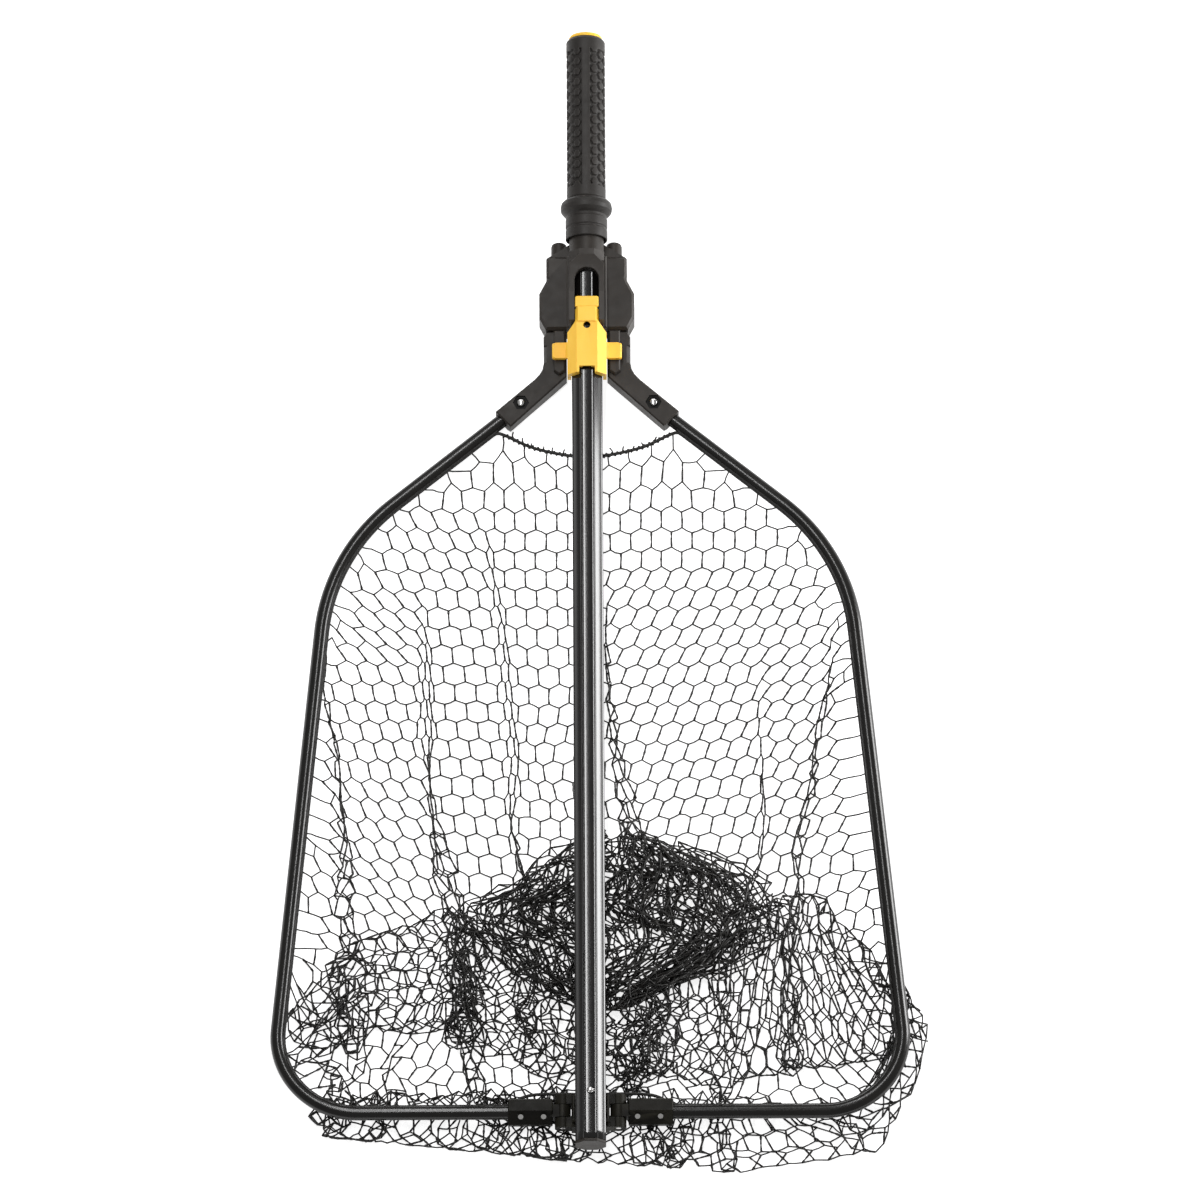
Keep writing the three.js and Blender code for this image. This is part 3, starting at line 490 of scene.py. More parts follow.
LATCH = refined("latch_lever", "latch_body", YELLOW, "latch", 0.00035, 2, corners=tab_corner)
for p in LATCH.data.polygons:
    if p.area > 3e-6:
        p.use_smooth = False
LATCH.modifiers.clear()
for side in ("left", "right"):
    arm = refined(f"{side}_arm", f"{side}_arm_body", BLACK_PLASTIC, f"{side}_wing", 0.0008, 3)
    # painted shade: the faces inside the nut pocket take the darker pocket material
    arm.data.materials.append(POCKET_PAINTED_SHADE)
    bolt = Vector((0.0618 if side == "right" else -0.0618, -0.11026))
    for p in arm.data.polygons:
        if (p.center.xy - bolt).length < 0.0079 and 0.0225 < p.center.z < 0.02585:
            p.material_index = 1
    refined(f"{side}_front_bracket", f"{side}_bracket_body", BRACKET_PLASTIC, f"{side}_wing", 0.0006, 3)
    refined(f"{side}_pin_cap", f"{side}_knob", BLACK_PLASTIC, "yoke", 0.0005, 2)
    for n in ("rivet_inner", "rivet_outer", "arm_bolt", "arm_nut"):
        refined(f"{side}_{n}", f"{side}_{n}_turned", STEEL, f"{side}_wing", 0.0002, 2)
    refined(f"{side}_front_pin", f"{side}_front_pin_turned", STEEL, "front_link", 0.0003, 2)
    refined(f"{side}_fold_pin", f"{side}_fold_pin_turned", STEEL, "yoke", 0.0003, 2)
refined("front_hinge_link", "front_link_body", BRACKET_PLASTIC, "front_link", 0.0006, 2)
refined("tube_end_plug", "tube_plug_body", BLACK_PLASTIC, "handle", 0.0005, 3)
# the latch pin takes the darkened steel, painted shade for the notch round it
for node, slot_name, material in (("button_spring", "bright_steel", STEEL), ("latch_spring", "bright_steel", STEEL), ("latch_pin", "bright_steel", SHADED_PIN_STEEL), ("yoke_screw_1", "bright_steel", STEEL), ("yoke_screw_2", "bright_steel", STEEL), ("yoke_screw_3", "bright_steel", STEEL), ("yoke_screw_4", "bright_steel", STEEL)):
    o = NODES[node]
    for s in o.material_slots:
        s.link = "OBJECT"
        s.material = material


def window_surround():
    """The raised panel that runs round the arched window and slopes away into the neck."""
    w, arch, top, end = 16.45, 11.3, 58.32, 54.62
    rim = [(-w, -12.0), (-arch, -12.0), (-arch, 0.6)]
    rim += [(-arch * math.cos(math.pi * k / 28), 0.6 + arch * math.sin(math.pi * k / 28)) for k in range(1, 28)]
    rim += [(arch, 0.6), (arch, -12.0), (w, -12.0), (w, 15.5), (-w, 15.5)]
    tip = [(7.4, 26.5), (-7.4, 26.5)]
    bm = bmesh.new()
    upper = [bm.verts.new((x, y, top)) for x, y in rim] + [bm.verts.new((x, y, end)) for x, y in tip]
    lower = [bm.verts.new((x, y, min(53.4, 59.9 - abs(x)))) for x, y in rim + tip]
    n = len(rim)
    bm.faces.new(upper[:n])
    bm.faces.new(lower[:n][::-1])
    bm.faces.new([upper[n - 1], upper[n - 2], upper[n], upper[n + 1]])
    bm.faces.new([lower[n - 1], lower[n - 2], lower[n], lower[n + 1]][::-1])
    ring = list(range(n - 1)) + [n, n + 1, n - 1]
    for i, j in zip(ring, ring[1:] + ring[:1]):
        bm.faces.new([upper[i], lower[i], lower[j], upper[j]])
    bmesh.ops.recalc_face_normals(bm, faces=bm.faces)
    edges = [e for e in bm.edges if e.calc_face_angle(0.0) > math.radians(24) and max(v.co.z for v in e.verts) > 54.5]
    bmesh.ops.bevel(bm, geom=edges, offset=0.7, offset_type="OFFSET", segments=3, profile=0.5, affect="EDGES", clamp_overlap=True)
    bmesh.ops.triangulate(bm, faces=[f for f in bm.faces if len(f.verts) > 4], quad_method="BEAUTY", ngon_method="BEAUTY")
    bmesh.ops.scale(bm, vec=(0.001, 0.001, 0.001), verts=bm.verts)
    mesh = bpy.data.meshes.new("yoke_window_surround")
    bm.to_mesh(mesh)
    bm.free()
    smooth_by_angle(mesh, 38)
    o = add_object("yoke_window_surround", mesh, BLACK_PLASTIC)
    m = o.modifiers.new("faces", "WEIGHTED_NORMAL")
    m.keep_sharp = True
    m.weight = 80
    return finish_piece(o, "yoke", [])


window_surround()

button_profile = rounded([(0.0, 0.0, 0), (5.0, 0.0, 0.2), (5.0, 1.6, 0.2), (3.1, 1.6, 0.1), (3.1, 6.0, 0.8), (2.3, 7.5, 1.0), (1.0, 7.95, 0.6), (0.0, 8.0, 0)], 0.3, 5)
button_mesh = turned(button_profile, 0.0, 0.0, 48)
button_mesh.transform(Matrix.Translation((0, -0.7926, 0.04755)) @ Matrix.Rotation(math.pi / 2, 4, "X"))
smooth_by_angle(button_mesh, 50)
finish_piece(add_object("snap_button_dome", button_mesh, STEEL), "snap_button", ["snap_button"])


# ---------------------------------------------------------------- hoop
AXIS_Z, FRONT_Y = 16.0, -802.5
LINE1 = (110.3, -149.7, 0.776, -0.631)


def side_x(y):
    return 251.6 + 0.104 * (-361 - y)


def slant_y(x):
    return LINE1[1] + LINE1[3] / LINE1[2] * (x - LINE1[0])


def hoop_line(x_start, x_end, n1=40, n2=40):
    d1 = np.array([LINE1[2], LINE1[3]])
    d1 /= np.linalg.norm(d1)
    sd = np.array([0.104, -1.0])
    sd /= np.linalg.norm(sd)
    ix = 240.0
    for _ in range(40):
        ix = side_x(slant_y(ix))

    def corner(cx, cy, a, b, radius, n):
        turn = math.acos(float(a @ b))
        p = np.array([cx, cy]) - a * radius * math.tan(turn / 2)
        s = np.array([a[1], -a[0]])
        c = p + s * radius
        out = []
        for k in range(n + 1):
            w = -turn * k / n
            rot = np.array([[math.cos(w), -math.sin(w)], [math.sin(w), math.cos(w)]])
            out.append((c + rot @ (-s * radius), rot @ a))
        return out

    line = [(np.array([x_start, slant_y(x_start)]), d1)]
    line += corner(ix, slant_y(ix), d1, sd, 185.0, n1)
    line += corner(side_x(FRONT_Y), FRONT_Y, sd, np.array([-1.0, 0.0]), 74.0, n2)
    line += [(np.array([x_end, FRONT_Y]), np.array([-1.0, 0.0]))]
    return line


def hoop_section(n=40):
    """Round tube section with the small round groove that takes the rim cord; u runs outwards from the mouth."""
    radius, gc, gr = 6.5, 6.2, 1.95
    half = math.acos((radius**2 + gc**2 - gr**2) / (2 * radius * gc)) + 0.05
    outer = [(-radius * math.cos(a), radius * math.sin(a)) for a in np.linspace(half, 2 * math.pi - half, n)]
    # the groove is crossed from its lower lip to its upper lip
    groove = [(-gc + gr * math.sin(b), -gr * math.cos(b)) for b in np.linspace(0.12, math.pi - 0.12, 10)]
    return outer, groove


def hoop_tube(side, sgn):
    outer, groove = hoop_section()
    section = outer + groove
    inner = [(-3.9 * math.cos(a), 3.9 * math.sin(a)) for a in np.linspace(0.16, 2 * math.pi - 0.16, len(outer))]
    inner += [(-3.9 * math.cos(b) , -3.9 * math.sin(b)) for b in np.linspace(0.14, -0.14, len(groove))]
    rings_out, rings_in = [], []
    for p, t in hoop_line(47.0, 39.5):
        n = np.array([-t[1], t[0]])  # away from the mouth
        for sec, dest in ((section, rings_out), (inner, rings_in)):
            dest.append([(sgn * (p[0] + n[0] * u), p[1] + n[1] * u, AXIS_Z + v) for u, v in sec])
    rings = rings_out + rings_in[::-1] + rings_out[:1]
    mesh = grid_mesh(f"{side}_hoop_body", np.array(rings) * 0.001, caps=False)
    bm = bmesh.new()
    bm.from_mesh(mesh)
    bmesh.ops.remove_doubles(bm, verts=bm.verts, dist=1e-6)
    bmesh.ops.recalc_face_normals(bm, faces=bm.faces)
    bm.to_mesh(mesh)
    bm.free()
    smooth_by_angle(mesh, 42)
    return finish_piece(add_object(f"{side}_hoop_body", mesh, HOOP), f"{side}_wing", [f"{side}_hoop_tube"])


for side, sgn in (("left", -1), ("right", 1)):
    hoop_tube(side, sgn)


# ---------------------------------------------------------------- rim cord
REAR_CORD = [(0, -158.6, 8.4), (12, -157.8, 8.8), (22, -156.6, 9.4), (34, -154.2, 9.8), (46, -151.4, 10.4), (56, -148.2, 11.4), (64, -144.8, 12.6), (70, -141.8, 13.6), (75, -139.6, 14.4), (80, -138, 15.4)]
FRONT_CORD = [(78, -795.9, 16), (70, -792.5, 16.0), (66, -788.9, 15.5), (58, -785.7, 14.6), (48, -783.9, 13), (38, -783.1, 11.6), (30, -782.9, 10.6), (12, -782.9, 9.4), (0, -783.0, 9.2)]


def rim_side():
    inside = [(p[0] + t[1] * 6.2, p[1] - t[0] * 6.2, AXIS_Z) for p, t in hoop_line(88.0, 78.0, 16, 18)][:-1]
    return np.array(REAR_CORD + inside + FRONT_CORD, float)


def resampled(points, step):
    points = np.asarray(points, float)
    d = np.r_[0, np.cumsum(np.linalg.norm(np.diff(points, axis=0), axis=1))]
    n = max(2, int(round(d[-1] / step)))
    s = np.linspace(0, d[-1], n + 1)
    return np.stack([np.interp(s, d, points[:, c]) for c in range(3)], 1), d[-1]


def frames_along(line):
    t = np.gradient(line, axis=0)
    t /= np.linalg.norm(t, axis=1, keepdims=True)
    up = np.array([0, 0, 1.0])
    n = np.cross(t, up)
    bad = np.linalg.norm(n, axis=1) < 0.05
    n[bad] = np.cross(t[bad], np.array([1.0, 0, 0]))
    n /= np.linalg.norm(n, axis=1, keepdims=True)
    b = np.cross(n, t)
    return t, n, b


def rope_mesh(name, line, radius, sides=14, lay=11.0, relief=0.10):
    """A three-strand laid cord along a line in mm."""
    t, n, b = frames_along(line)
    s = np.r_[0, np.cumsum(np.linalg.norm(np.diff(line, axis=0), axis=1))]
    rings = []
    for k in range(len(line)):
        a = np.linspace(0, 2 * np.pi, sides, endpoint=False)
        r = radius * (1 - relief * (0.5 - 0.5 * np.cos(3 * (a - 2 * np.pi * s[k] / lay))))
        rings.append(line[k] + (np.cos(a) * r)[:, None] * n[k] + (np.sin(a) * r)[:, None] * b[k])
    return grid_mesh(name, np.array(rings) * 0.001)


def rim_cords():
    total = 0.0
    for side, sgn in (("left", -1), ("right", 1)):
        line = rim_side()
        line[:, 0] *= sgn
        # round the polyline's corners before sweeping
        fine, length = resampled(line, 1.5)
        for _ in range(6):
            fine[1:-1] = 0.25 * fine[:-2] + 0.5 * fine[1:-1] + 0.25 * fine[2:]
        total += length
        mesh = rope_mesh(f"{side}_rim_rope", fine, 1.6, 14)
        # the lashing wound round the open span behind the mouth
        span, _ = resampled(fine[(np.abs(fine[:, 0]) < 79) & (fine[:, 1] > -300)], 0.5)
        s = np.r_[0, np.cumsum(np.linalg.norm(np.diff(span, axis=0), axis=1))]
        _, n, b = frames_along(span)
        turn = 2 * np.pi * s / 5.2
        lash = span + (2.0 + 0.15 * np.sin(s / 7.0))[:, None] * (np.cos(turn)[:, None] * n + np.sin(turn)[:, None] * b)
        winding = rope_mesh(f"{side}_lashing", lash, 0.62, 6, 3.0, 0.12)
        bm = bmesh.new()
        bm.from_mesh(mesh)
        bm.from_mesh(winding)
        bm.to_mesh(mesh)
        bm.free()
        bpy.data.meshes.remove(winding)
        for p in mesh.polygons:
            p.use_smooth = True
        o = add_object(f"{side}_rim_rope", mesh, CORD)
        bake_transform(o)
        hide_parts(f"{side}_rim_cord", *(["rear_cord_span", "front_cord_span"] if side == "left" else []))
    return total


RIM_LENGTH = rim_cords()


# ---------------------------------------------------------------- net: hexagonal mesh hung on the rim and heaped on the ground, in mm
SIDE = 10.5  # the thin slanting side of a cell
LINK = 14.7  # the thick upright side, where two plies are twisted together
ZIG = 4.0  # rise of the slanting sides
HALF_W = math.sqrt(SIDE**2 - ZIG**2)  # column spacing
PITCH = LINK + ZIG  # row spacing
ROW_REAR = 25  # rows from the yoke to the heap
ROW_LOW = ROW_REAR + 57  # the heap's extra rows lie between these two
ROW_END = ROW_LOW + 28  # last row, laced to the front of the rim
HEAP = np.array([29.0, -616.0])
HEAP_COLUMNS = (-12, 16)
HEAP_Y = [-706, -694, -679, -669, -654, -634, -620, -600, -590, -574, -555, -540, -527]
HEAP_LEFT = [0, -24, -50, -60, -76, -88, -104, -116, -80, -56, -40, -32, 4]
HEAP_RIGHT = [22, 44, 76, 102, 136, 158, 168, 160, 156, 148, 118, 92, 58]
# folds of the rear sheet: (row, centre x), then (row, surplus each side), then (row, slope): a slope above zero is a
# ridge standing up with its cells seen edge-on, below zero the sheet is doubled back over itself
FOLDS = [
    ([(0, -104), (5, -88), (10, -79), (18, -72), (25, -60)], [(2, 0), (6, 12), (12, 16), (25, 24)], [(0, 0.30), (14, 0.24), (25, 0.3)]),
    ([(0, -152), (8, -152), (14, -152), (18, -144), (22, -130), (25, -122)], [(6, 0), (10, 18), (16, 26), (25, 52)], [(0, 0.30), (14, 0.26), (17, -0.2), (25, -0.6)]),
    ([(0, -250), (11, -248), (16, -236), (20, -226), (25, -226)], [(7, 0), (12, 16), (20, 32)], [(0, 0.15), (14, -0.1), (20, -0.4)]),
    ([(0, 226), (10, 225), (16, 210), (19, 198), (25, 186)], [(6, 0), (12, 18), (18, 24)], [(0, 0.15), (14, -0.1), (20, -0.35)]),
    ([(0, 14), (9, 17), (14, 26), (18, 38), (22, 50), (25, 60)], [(5, 0), (10, 16), (18, 36), (25, 48)], [(0, 0.1), (11, -0.1), (17, -0.5), (25, -0.6)]),
    ([(0, 160), (13, 160), (20, 156), (25, 126)], [(9, 0), (14, 10), (25, 14)], [(0, 0.2), (25, 0.15)]),
]
# where the mesh that spills past the rim ends: lowest y at each x, and x limits at each y
SPILL_X = np.array([-330, -291, -287, -268, -251, -190, -125, -46, 0, 87, 165, 230, 262, 278, 296, 317, 321, 330.0])
SPILL_Y = np.array([-700, -735, -760, -790, -822, -829, -835, -845, -849, -856, -861, -858, -852, -826, -801, -760, -727, -700.0])
RIGHT_Y = np.array([-861, -852, -826, -801, -760, -727, -705, -682, -640.0])
RIGHT_X = np.array([225, 262, 278, 296, 317, 320, 310, 295, 268.0])
LEFT_Y = np.array([-845, -829, -822, -790, -760, -740, -690, -640.0])
LEFT_X = np.array([-46, -190, -251, -268, -287, -291, -276, -268.0])
HOOP_Y = np.array([-802, -770, -740, -728, -361, -332, -300, -262, -225, -207, -138.0])
HOOP_X = np.array([200, 262, 280, 284, 246, 240, 231, 214, 188, 169, 82.0])


def ease(t):
    t = np.clip(t, 0, 1)
    return t * t * (3 - 2 * t)


def net_nodes(seed=11, steps=110):
    rng = np.random.default_rng(seed)
    side = rim_side()[len(REAR_CORD):]
    arc = np.r_[0, np.cumsum(np.linalg.norm(np.diff(side[:, :2], axis=0), axis=1))]

    def at(s):
        return np.stack([np.interp(s, arc, side[:, c]) for c in range(3)], -1)

    fine = np.linspace(0, arc[-1], 4000)
    rim = at(fine)

    def s_of_y(y):
        return fine[np.argmin(np.abs(rim[:, 1] - y))]

    corner_end = fine[np.argmax(rim[:, 1] < -795.4)]
    s_rear = s_of_y(-160 - 14 - PITCH * ROW_REAR)

    def s_row(k):
        if k <= ROW_REAR:
            return s_of_y(min(-160 - 14 - PITCH * k, -139))
        if k < ROW_LOW:
            return s_rear
        return s_rear + (corner_end + 10 - s_rear) * (k - ROW_LOW + 1) / (ROW_END - ROW_LOW)

    right = np.array([at(s_row(k)) for k in range(ROW_END)])
    left = right * np.array([-1, 1, 1])

    def at_row(table, k):
        return float(np.interp(k, [p[0] for p in table], [p[1] for p in table]))

    def surplus(k, sgn):
        return sum(2 * at_row(f[1], k) for f in FOLDS if (f[0][0][1] > 0) == (sgn > 0))

    spans = []
    for k in range(ROW_END):
        if ROW_REAR < k < ROW_LOW:
            spans.append(HEAP_COLUMNS)
            continue
        kk = min(k, ROW_REAR)
        hw = right[min(k, ROW_REAR)][0]
        wr, wl = hw + surplus(kk, 1), hw + surplus(kk, -1)
        if k >= ROW_LOW:
            t = (k - ROW_LOW) / (ROW_END - ROW_LOW)
            wr += 105 * math.sin(math.pi * min(1, t * 1.1)) - 30 * max(0, t - 0.75)
            wl += -30 * max(0, t - 0.75)
        spans.append((int(math.ceil((-wl + 7) / HALF_W)), int(math.floor((wr - 7) / HALF_W))))
    index = {}
    for k in range(ROW_END):
        for i in range(spans[k][0], spans[k][1] + 1):
            index[(k, i)] = len(index)
    keys = np.array(list(index.keys()))
    kk, ii = keys[:, 0], keys[:, 1]
    n = len(keys)
    gx = ii * HALF_W
    X = np.zeros((n, 3))
    ridge, firm = np.zeros(n), np.zeros(n)

    def field(passes_u, passes_k, comps=2, width=96):
        f = rng.standard_normal((ROW_END, width, comps))
        for _ in range(passes_u):
            f = (f + np.roll(f, 1, 1) + np.roll(f, -1, 1)) / 3
        for _ in range(passes_k):
            f[1:-1] = (f[:-2] + f[1:-1] + f[2:]) / 3
        return f / f.std()

    def sample(f, k, i):
        return f[k, np.clip(i + 48, 0, 95)]

    broad, mid, fine_f, order_f = field(5, 2), field(1, 1), field(0, 0), field(4, 4, 1)

    def rear_x(g, k):
        x = g.astype(float).copy()
        rise = np.zeros_like(x)
        for f in FOLDS:
            amount = at_row(f[1], k)
            if amount <= 0:
                continue
            c, slope = at_row(f[0], k), at_row(f[2], k)
            sg = 1 if f[0][0][1] > 0 else -1
            inner = sum(2 * at_row(h[1], k) for h in FOLDS if (h[0][0][1] > 0) == (sg > 0) and abs(at_row(h[0], k)) < abs(c))
            g0 = c + sg * (inner + amount)
            w = 2 * amount / (1 - slope)
            u = np.clip((sg * (g - g0) + w / 2) / w, 0, 1)
            x = x - sg * 2 * amount * u
            rise += (1 - np.abs(2 * u - 1)) * (min(13.0, 0.8 * amount) if slope > 0 else 6.0)
        return x, rise

    def low_path(t, x):
        """Where the rows past the heap lie: down, folded back, out under the front tube and back to the rim."""
        first = np.interp(x, [-270, -236, -211, -139, -50, 0, 60, 120, 180, 260], [-770, -760, -706, -716, -746, -756, -762, -776, -782, -778.0])
        second = np.interp(x, [-262, -235, -211, -170, -130, -100, -40, 60, 120, 150, 172, 218, 246, 268], [-700, -664, -640, -610, -596, -640, -690, -690, -650, -600, -556, -560, -592, -640.0])
        third = -770 + 6 * np.sin(x / 33.0 + 1.0)
        out = np.interp(x, SPILL_X, SPILL_Y) + 5
        start = np.interp(x, [-280, -200, -60, 26, 110, 200, 280], [-656, -660, -668, -680, -668, -660, -656.0])
        knots = np.array([0.0, 0.17, 0.42, 0.67, 0.86, 1.0])
        rows = np.stack([start, first, second, third, out, np.full_like(x, -786.0)], 0)
        j = min(int(np.searchsorted(knots, t, side="right")) - 1, 4)
        w = (t - knots[j]) / (knots[j + 1] - knots[j])
        return rows[j] * (1 - w) + rows[j + 1] * w

    for k in range(ROW_END):
        m = np.where(kk == k)[0]
        i = ii[m]
        g = gx[m]
        if k <= ROW_REAR:
            X[m, 0], ridge[m] = rear_x(g, k)
            X[m, 1] = -160 - 14 - PITCH * k
            X[m, :2] += sample(broad, k, i) * (0.6 + 2.2 * k / ROW_REAR)
            X[m, :2] += sample(mid, k, i) * (ridge[m] > 0.5)[:, None] * (0.7 + 3.2 * max(0.0, k / ROW_REAR - 0.55) / 0.45)
        elif k < ROW_LOW:
            t = (k - ROW_REAR) / (ROW_LOW - ROW_REAR)
            s = np.clip((i - sum(HEAP_COLUMNS) / 2) / ((HEAP_COLUMNS[1] - HEAP_COLUMNS[0]) / 2), -1, 1)
            cycles = 3.5
            tri = 2 * abs(((t * cycles) % 1.0) * 2 - 1) - 1  # 1, -1, 1 ...
            yo = HEAP[1] + 78.0 * tri
            lo, hi = np.interp(yo, HEAP_Y, HEAP_LEFT), np.interp(yo, HEAP_Y, HEAP_RIGHT)
            X[m, 0] = (lo + hi) / 2 + s * max(46.0, 0.46 * (hi - lo))
            X[m, 1] = yo
            X[m, :2] += sample(broad, k, i) * 17 + sample(mid, k, i) * 7
        else:
            t = (k - ROW_LOW) / (ROW_END - 1 - ROW_LOW)
            a0, a1 = spans[k]
            u = np.where(i < 0, -i / a0, i / a1)
            hw = 262 - 34 * t
            x = u * hw
            w = 0.12 + 0.68 * float(ease(t / 0.9))
            x = (1 - w) * rear_x(g, ROW_REAR)[0] * (hw / 262) + w * x
            if t > 0.45:
                out = float(ease((t - 0.45) / 0.3)) * (1 - float(ease((t - 0.86) / 0.14)))
                bulge = ease((np.abs(u) - 0.5) / 0.35) * (1 - 0.8 * ease((np.abs(u) - 0.95) / 0.05))
                x = x + np.where(u > 0, 84 * out * bulge, -30 * out * bulge)
                firm[m] = np.where((u > 0.6) & (t < 0.93), 0.28, 0.0)
            X[m, 0] = x + 6 * np.sin(x / 26.0 + 6.0 * t)
            X[m, 1] = low_path(t, x)
            if t > 0.5:
                X[m, 1] += np.where(u > 0, 95, 30) * ease((np.abs(u) - 0.84) / 0.12) * math.sin(math.pi * min(1, (t - 0.5) / 0.42)) * (t < 0.92)
            amp = 6.0 * (1 - 0.3 * t)
            X[m, :2] += sample(broad, k, i) * amp + sample(mid, k, i) * amp * 0.35
    high = (kk + ii) % 2 == 0
    X[:, 1] += np.where(high, ZIG / 2, -ZIG / 2)

    edges = []
    for (k, i), a in index.items():
        b = index.get((k, i + 1))
        if b is not None:
            edges.append((a, b, 0))
        if (k + i) % 2:
            nk = k + 1
            if k == ROW_REAR and not HEAP_COLUMNS[0] <= i <= HEAP_COLUMNS[1]:
                nk = ROW_LOW
            b = index.get((nk, i))
            if b is not None:
                edges.append((a, b, 1))
    # the heap's side edges are each sewn to themselves
    for k in range(ROW_REAR + 1, (ROW_REAR + ROW_LOW) // 2):
        for i in HEAP_COLUMNS:
            if (k + i) % 2 == 0:
                edges.append((index[(k, i)], index[(ROW_REAR + ROW_LOW - k, i)], 0))
    edges = np.array(edges)
    ea, eb, kind = edges.T
    rest_length = np.where(kind == 1, LINK, SIDE)
    rear_rows = kk <= ROW_REAR
    first_length = np.hypot(*(X[eb, :2] - X[ea, :2]).T)
    squash = np.where(rear_rows[ea] & rear_rows[eb] & (first_length < 0.85 * rest_length), 0.0, 1.0)
    spread = []
    for (k, i), a in index.items():
        b = index.get((k, i + 2))
        if b is not None:
            spread.append((a, b, 2 * HALF_W))
        b = index.get((k + 2, i))
        if b is not None and not (k <= ROW_REAR < k + 2 and not HEAP_COLUMNS[0] <= i <= HEAP_COLUMNS[1]):
            spread.append((a, b, 2 * PITCH))
    spread = np.array(spread)
    qa, qb, ql = spread[:, 0].astype(int), spread[:, 1].astype(int), spread[:, 2]
    apart = np.hypot(*(X[qb, :2] - X[qa, :2]).T)
    loose = ~(rear_rows[qa] & rear_rows[qb] & (apart < 0.85 * ql))
    qa, qb, ql = qa[loose], qb[loose], ql[loose]

    # lacing to the rim
    la, lp = [], []
    rear = np.array(REAR_CORD, float)
    rear = np.vstack([rear[::-1] * np.array([-1, 1, 1]), rear[1:]])
    front = np.vstack([side[side[:, 1] < -795.3], np.array(FRONT_CORD, float)[1:]])
    front = np.vstack([front, front[::-1][1:] * np.array([-1, 1, 1])])
    front = front[np.argsort(front[:, 0], kind="stable")]

    def rim_near(x, y):
        d = np.hypot(rim[:, 0] * np.sign(x) - x, rim[:, 1] - y)
        j = int(d.argmin())
        return [rim[j, 0] * np.sign(x), rim[j, 1], rim[j, 2]]

    for (k, i), a in index.items():
        if ROW_REAR < k < ROW_LOW:
            continue
        i0, i1 = spans[k]
        if i in (i0, i1) and k < ROW_END - 1:
            if k <= ROW_REAR or (k - ROW_LOW) % 2 == 0:
                la.append(a)
                lp.append(right[k] if i == i1 else left[k])
            continue
        if (k + i) % 2 == 0 and k <= ROW_REAR and (k - 1, i) not in index:
            x = X[a, 0]
            la.append(a)
            if k == 0 and abs(x) < 80:
                lp.append([x, np.interp(x, rear[:, 0], rear[:, 1]), np.interp(x, rear[:, 0], rear[:, 2])])
            else:
                lp.append(rim_near(x, X[a, 1] + (0 if k == 0 else 8)))
        if k == ROW_END - 1 and (k + i) % 2:
            x = float(np.clip(X[a, 0] * 0.95, front[0, 0], front[-1, 0]))
            la.append(a)
            lp.append([x, np.interp(x, front[:, 0], front[:, 1]), np.interp(x, front[:, 0], front[:, 2])])
    la, lp = np.array(la), np.array(lp, float)

    degree = np.bincount(ea, minlength=n) + np.bincount(eb, minlength=n) + np.bincount(la, minlength=n)
    relax = (1.6 / np.maximum(degree, 1))[:, None]

    def gather(cor, a, f):
        for c in range(2):
            cor[:, c] += np.bincount(a, f[:, c], minlength=n)

    P = X[:, :2].copy()
    lp2 = lp[:, :2]

    def solve(P, rounds, compress, stiff):
        for _ in range(rounds):
            cor = np.zeros_like(P)
            d = P[eb] - P[ea]
            ln = np.sqrt((d * d).sum(1)) + 1e-9
            c = ln - rest_length
            f = d * (0.5 * np.where(c > 0, 1.0, compress * squash) * c / ln)[:, None]
            gather(cor, ea, f)
            gather(cor, eb, -f)
            d = lp2 - P[la]
            ln = np.sqrt((d * d).sum(1)) + 1e-9
            c = ln - 9.5
            gather(cor, la, d * (np.where(c > 0, 1.0, 0.25) * c / ln)[:, None])
            d = P[qb] - P[qa]
            ln = np.sqrt((d * d).sum(1)) + 1e-9
            c = ln - ql
            f = d * (0.5 * np.where(c < 0, stiff, stiff * 0.3) * c / ln)[:, None]
            gather(cor, qa, f)
            gather(cor, qb, -f)
            P = P + cor * relax
        return P

    heap = (kk > ROW_REAR) & (kk < ROW_LOW)
    V = np.zeros_like(P)
    rest = P.copy()
    tk = (kk >= ROW_LOW) * (kk - ROW_LOW) / (ROW_END - 1 - ROW_LOW)
    hold = np.where(kk >= ROW_LOW, 0.09, np.where(heap, 0.22, np.where(ridge > 0.5, 0.5, 0.22)))
    hold = np.maximum(hold, firm)[:, None]
    for _ in range(steps):
        g = np.zeros_like(P)
        g[:, 1] = -0.06 * (kk <= ROW_REAR)
        V = V * 0.8 + g
        P0 = P.copy()
        P = P + V
        P += (rest - P) * hold
        P = solve(P, 6, 0.14, 0.10)
        x, y = P.T
        y = np.where(heap, np.clip(y, HEAP_Y[0], HEAP_Y[-1]), y)
        x = np.where(heap, np.clip(x, np.interp(y, HEAP_Y, HEAP_LEFT) - 3, np.interp(y, HEAP_Y, HEAP_RIGHT) + 3), x)
        y = np.maximum(y, np.interp(x, SPILL_X, SPILL_Y) + 2)
        x = np.where(y < -640, np.minimum(x, np.interp(y, RIGHT_Y, RIGHT_X) - 2), np.minimum(x, np.interp(y, HOOP_Y, HOOP_X) - 2))
        x = np.where(y < -640, np.maximum(x, np.interp(y, LEFT_Y, LEFT_X) + 2), np.maximum(x, -np.interp(y, HOOP_Y, HOOP_X) + 2))
        P = np.stack([x, y], 1)
        V = np.clip(P - P0, -4, 4) * 0.9

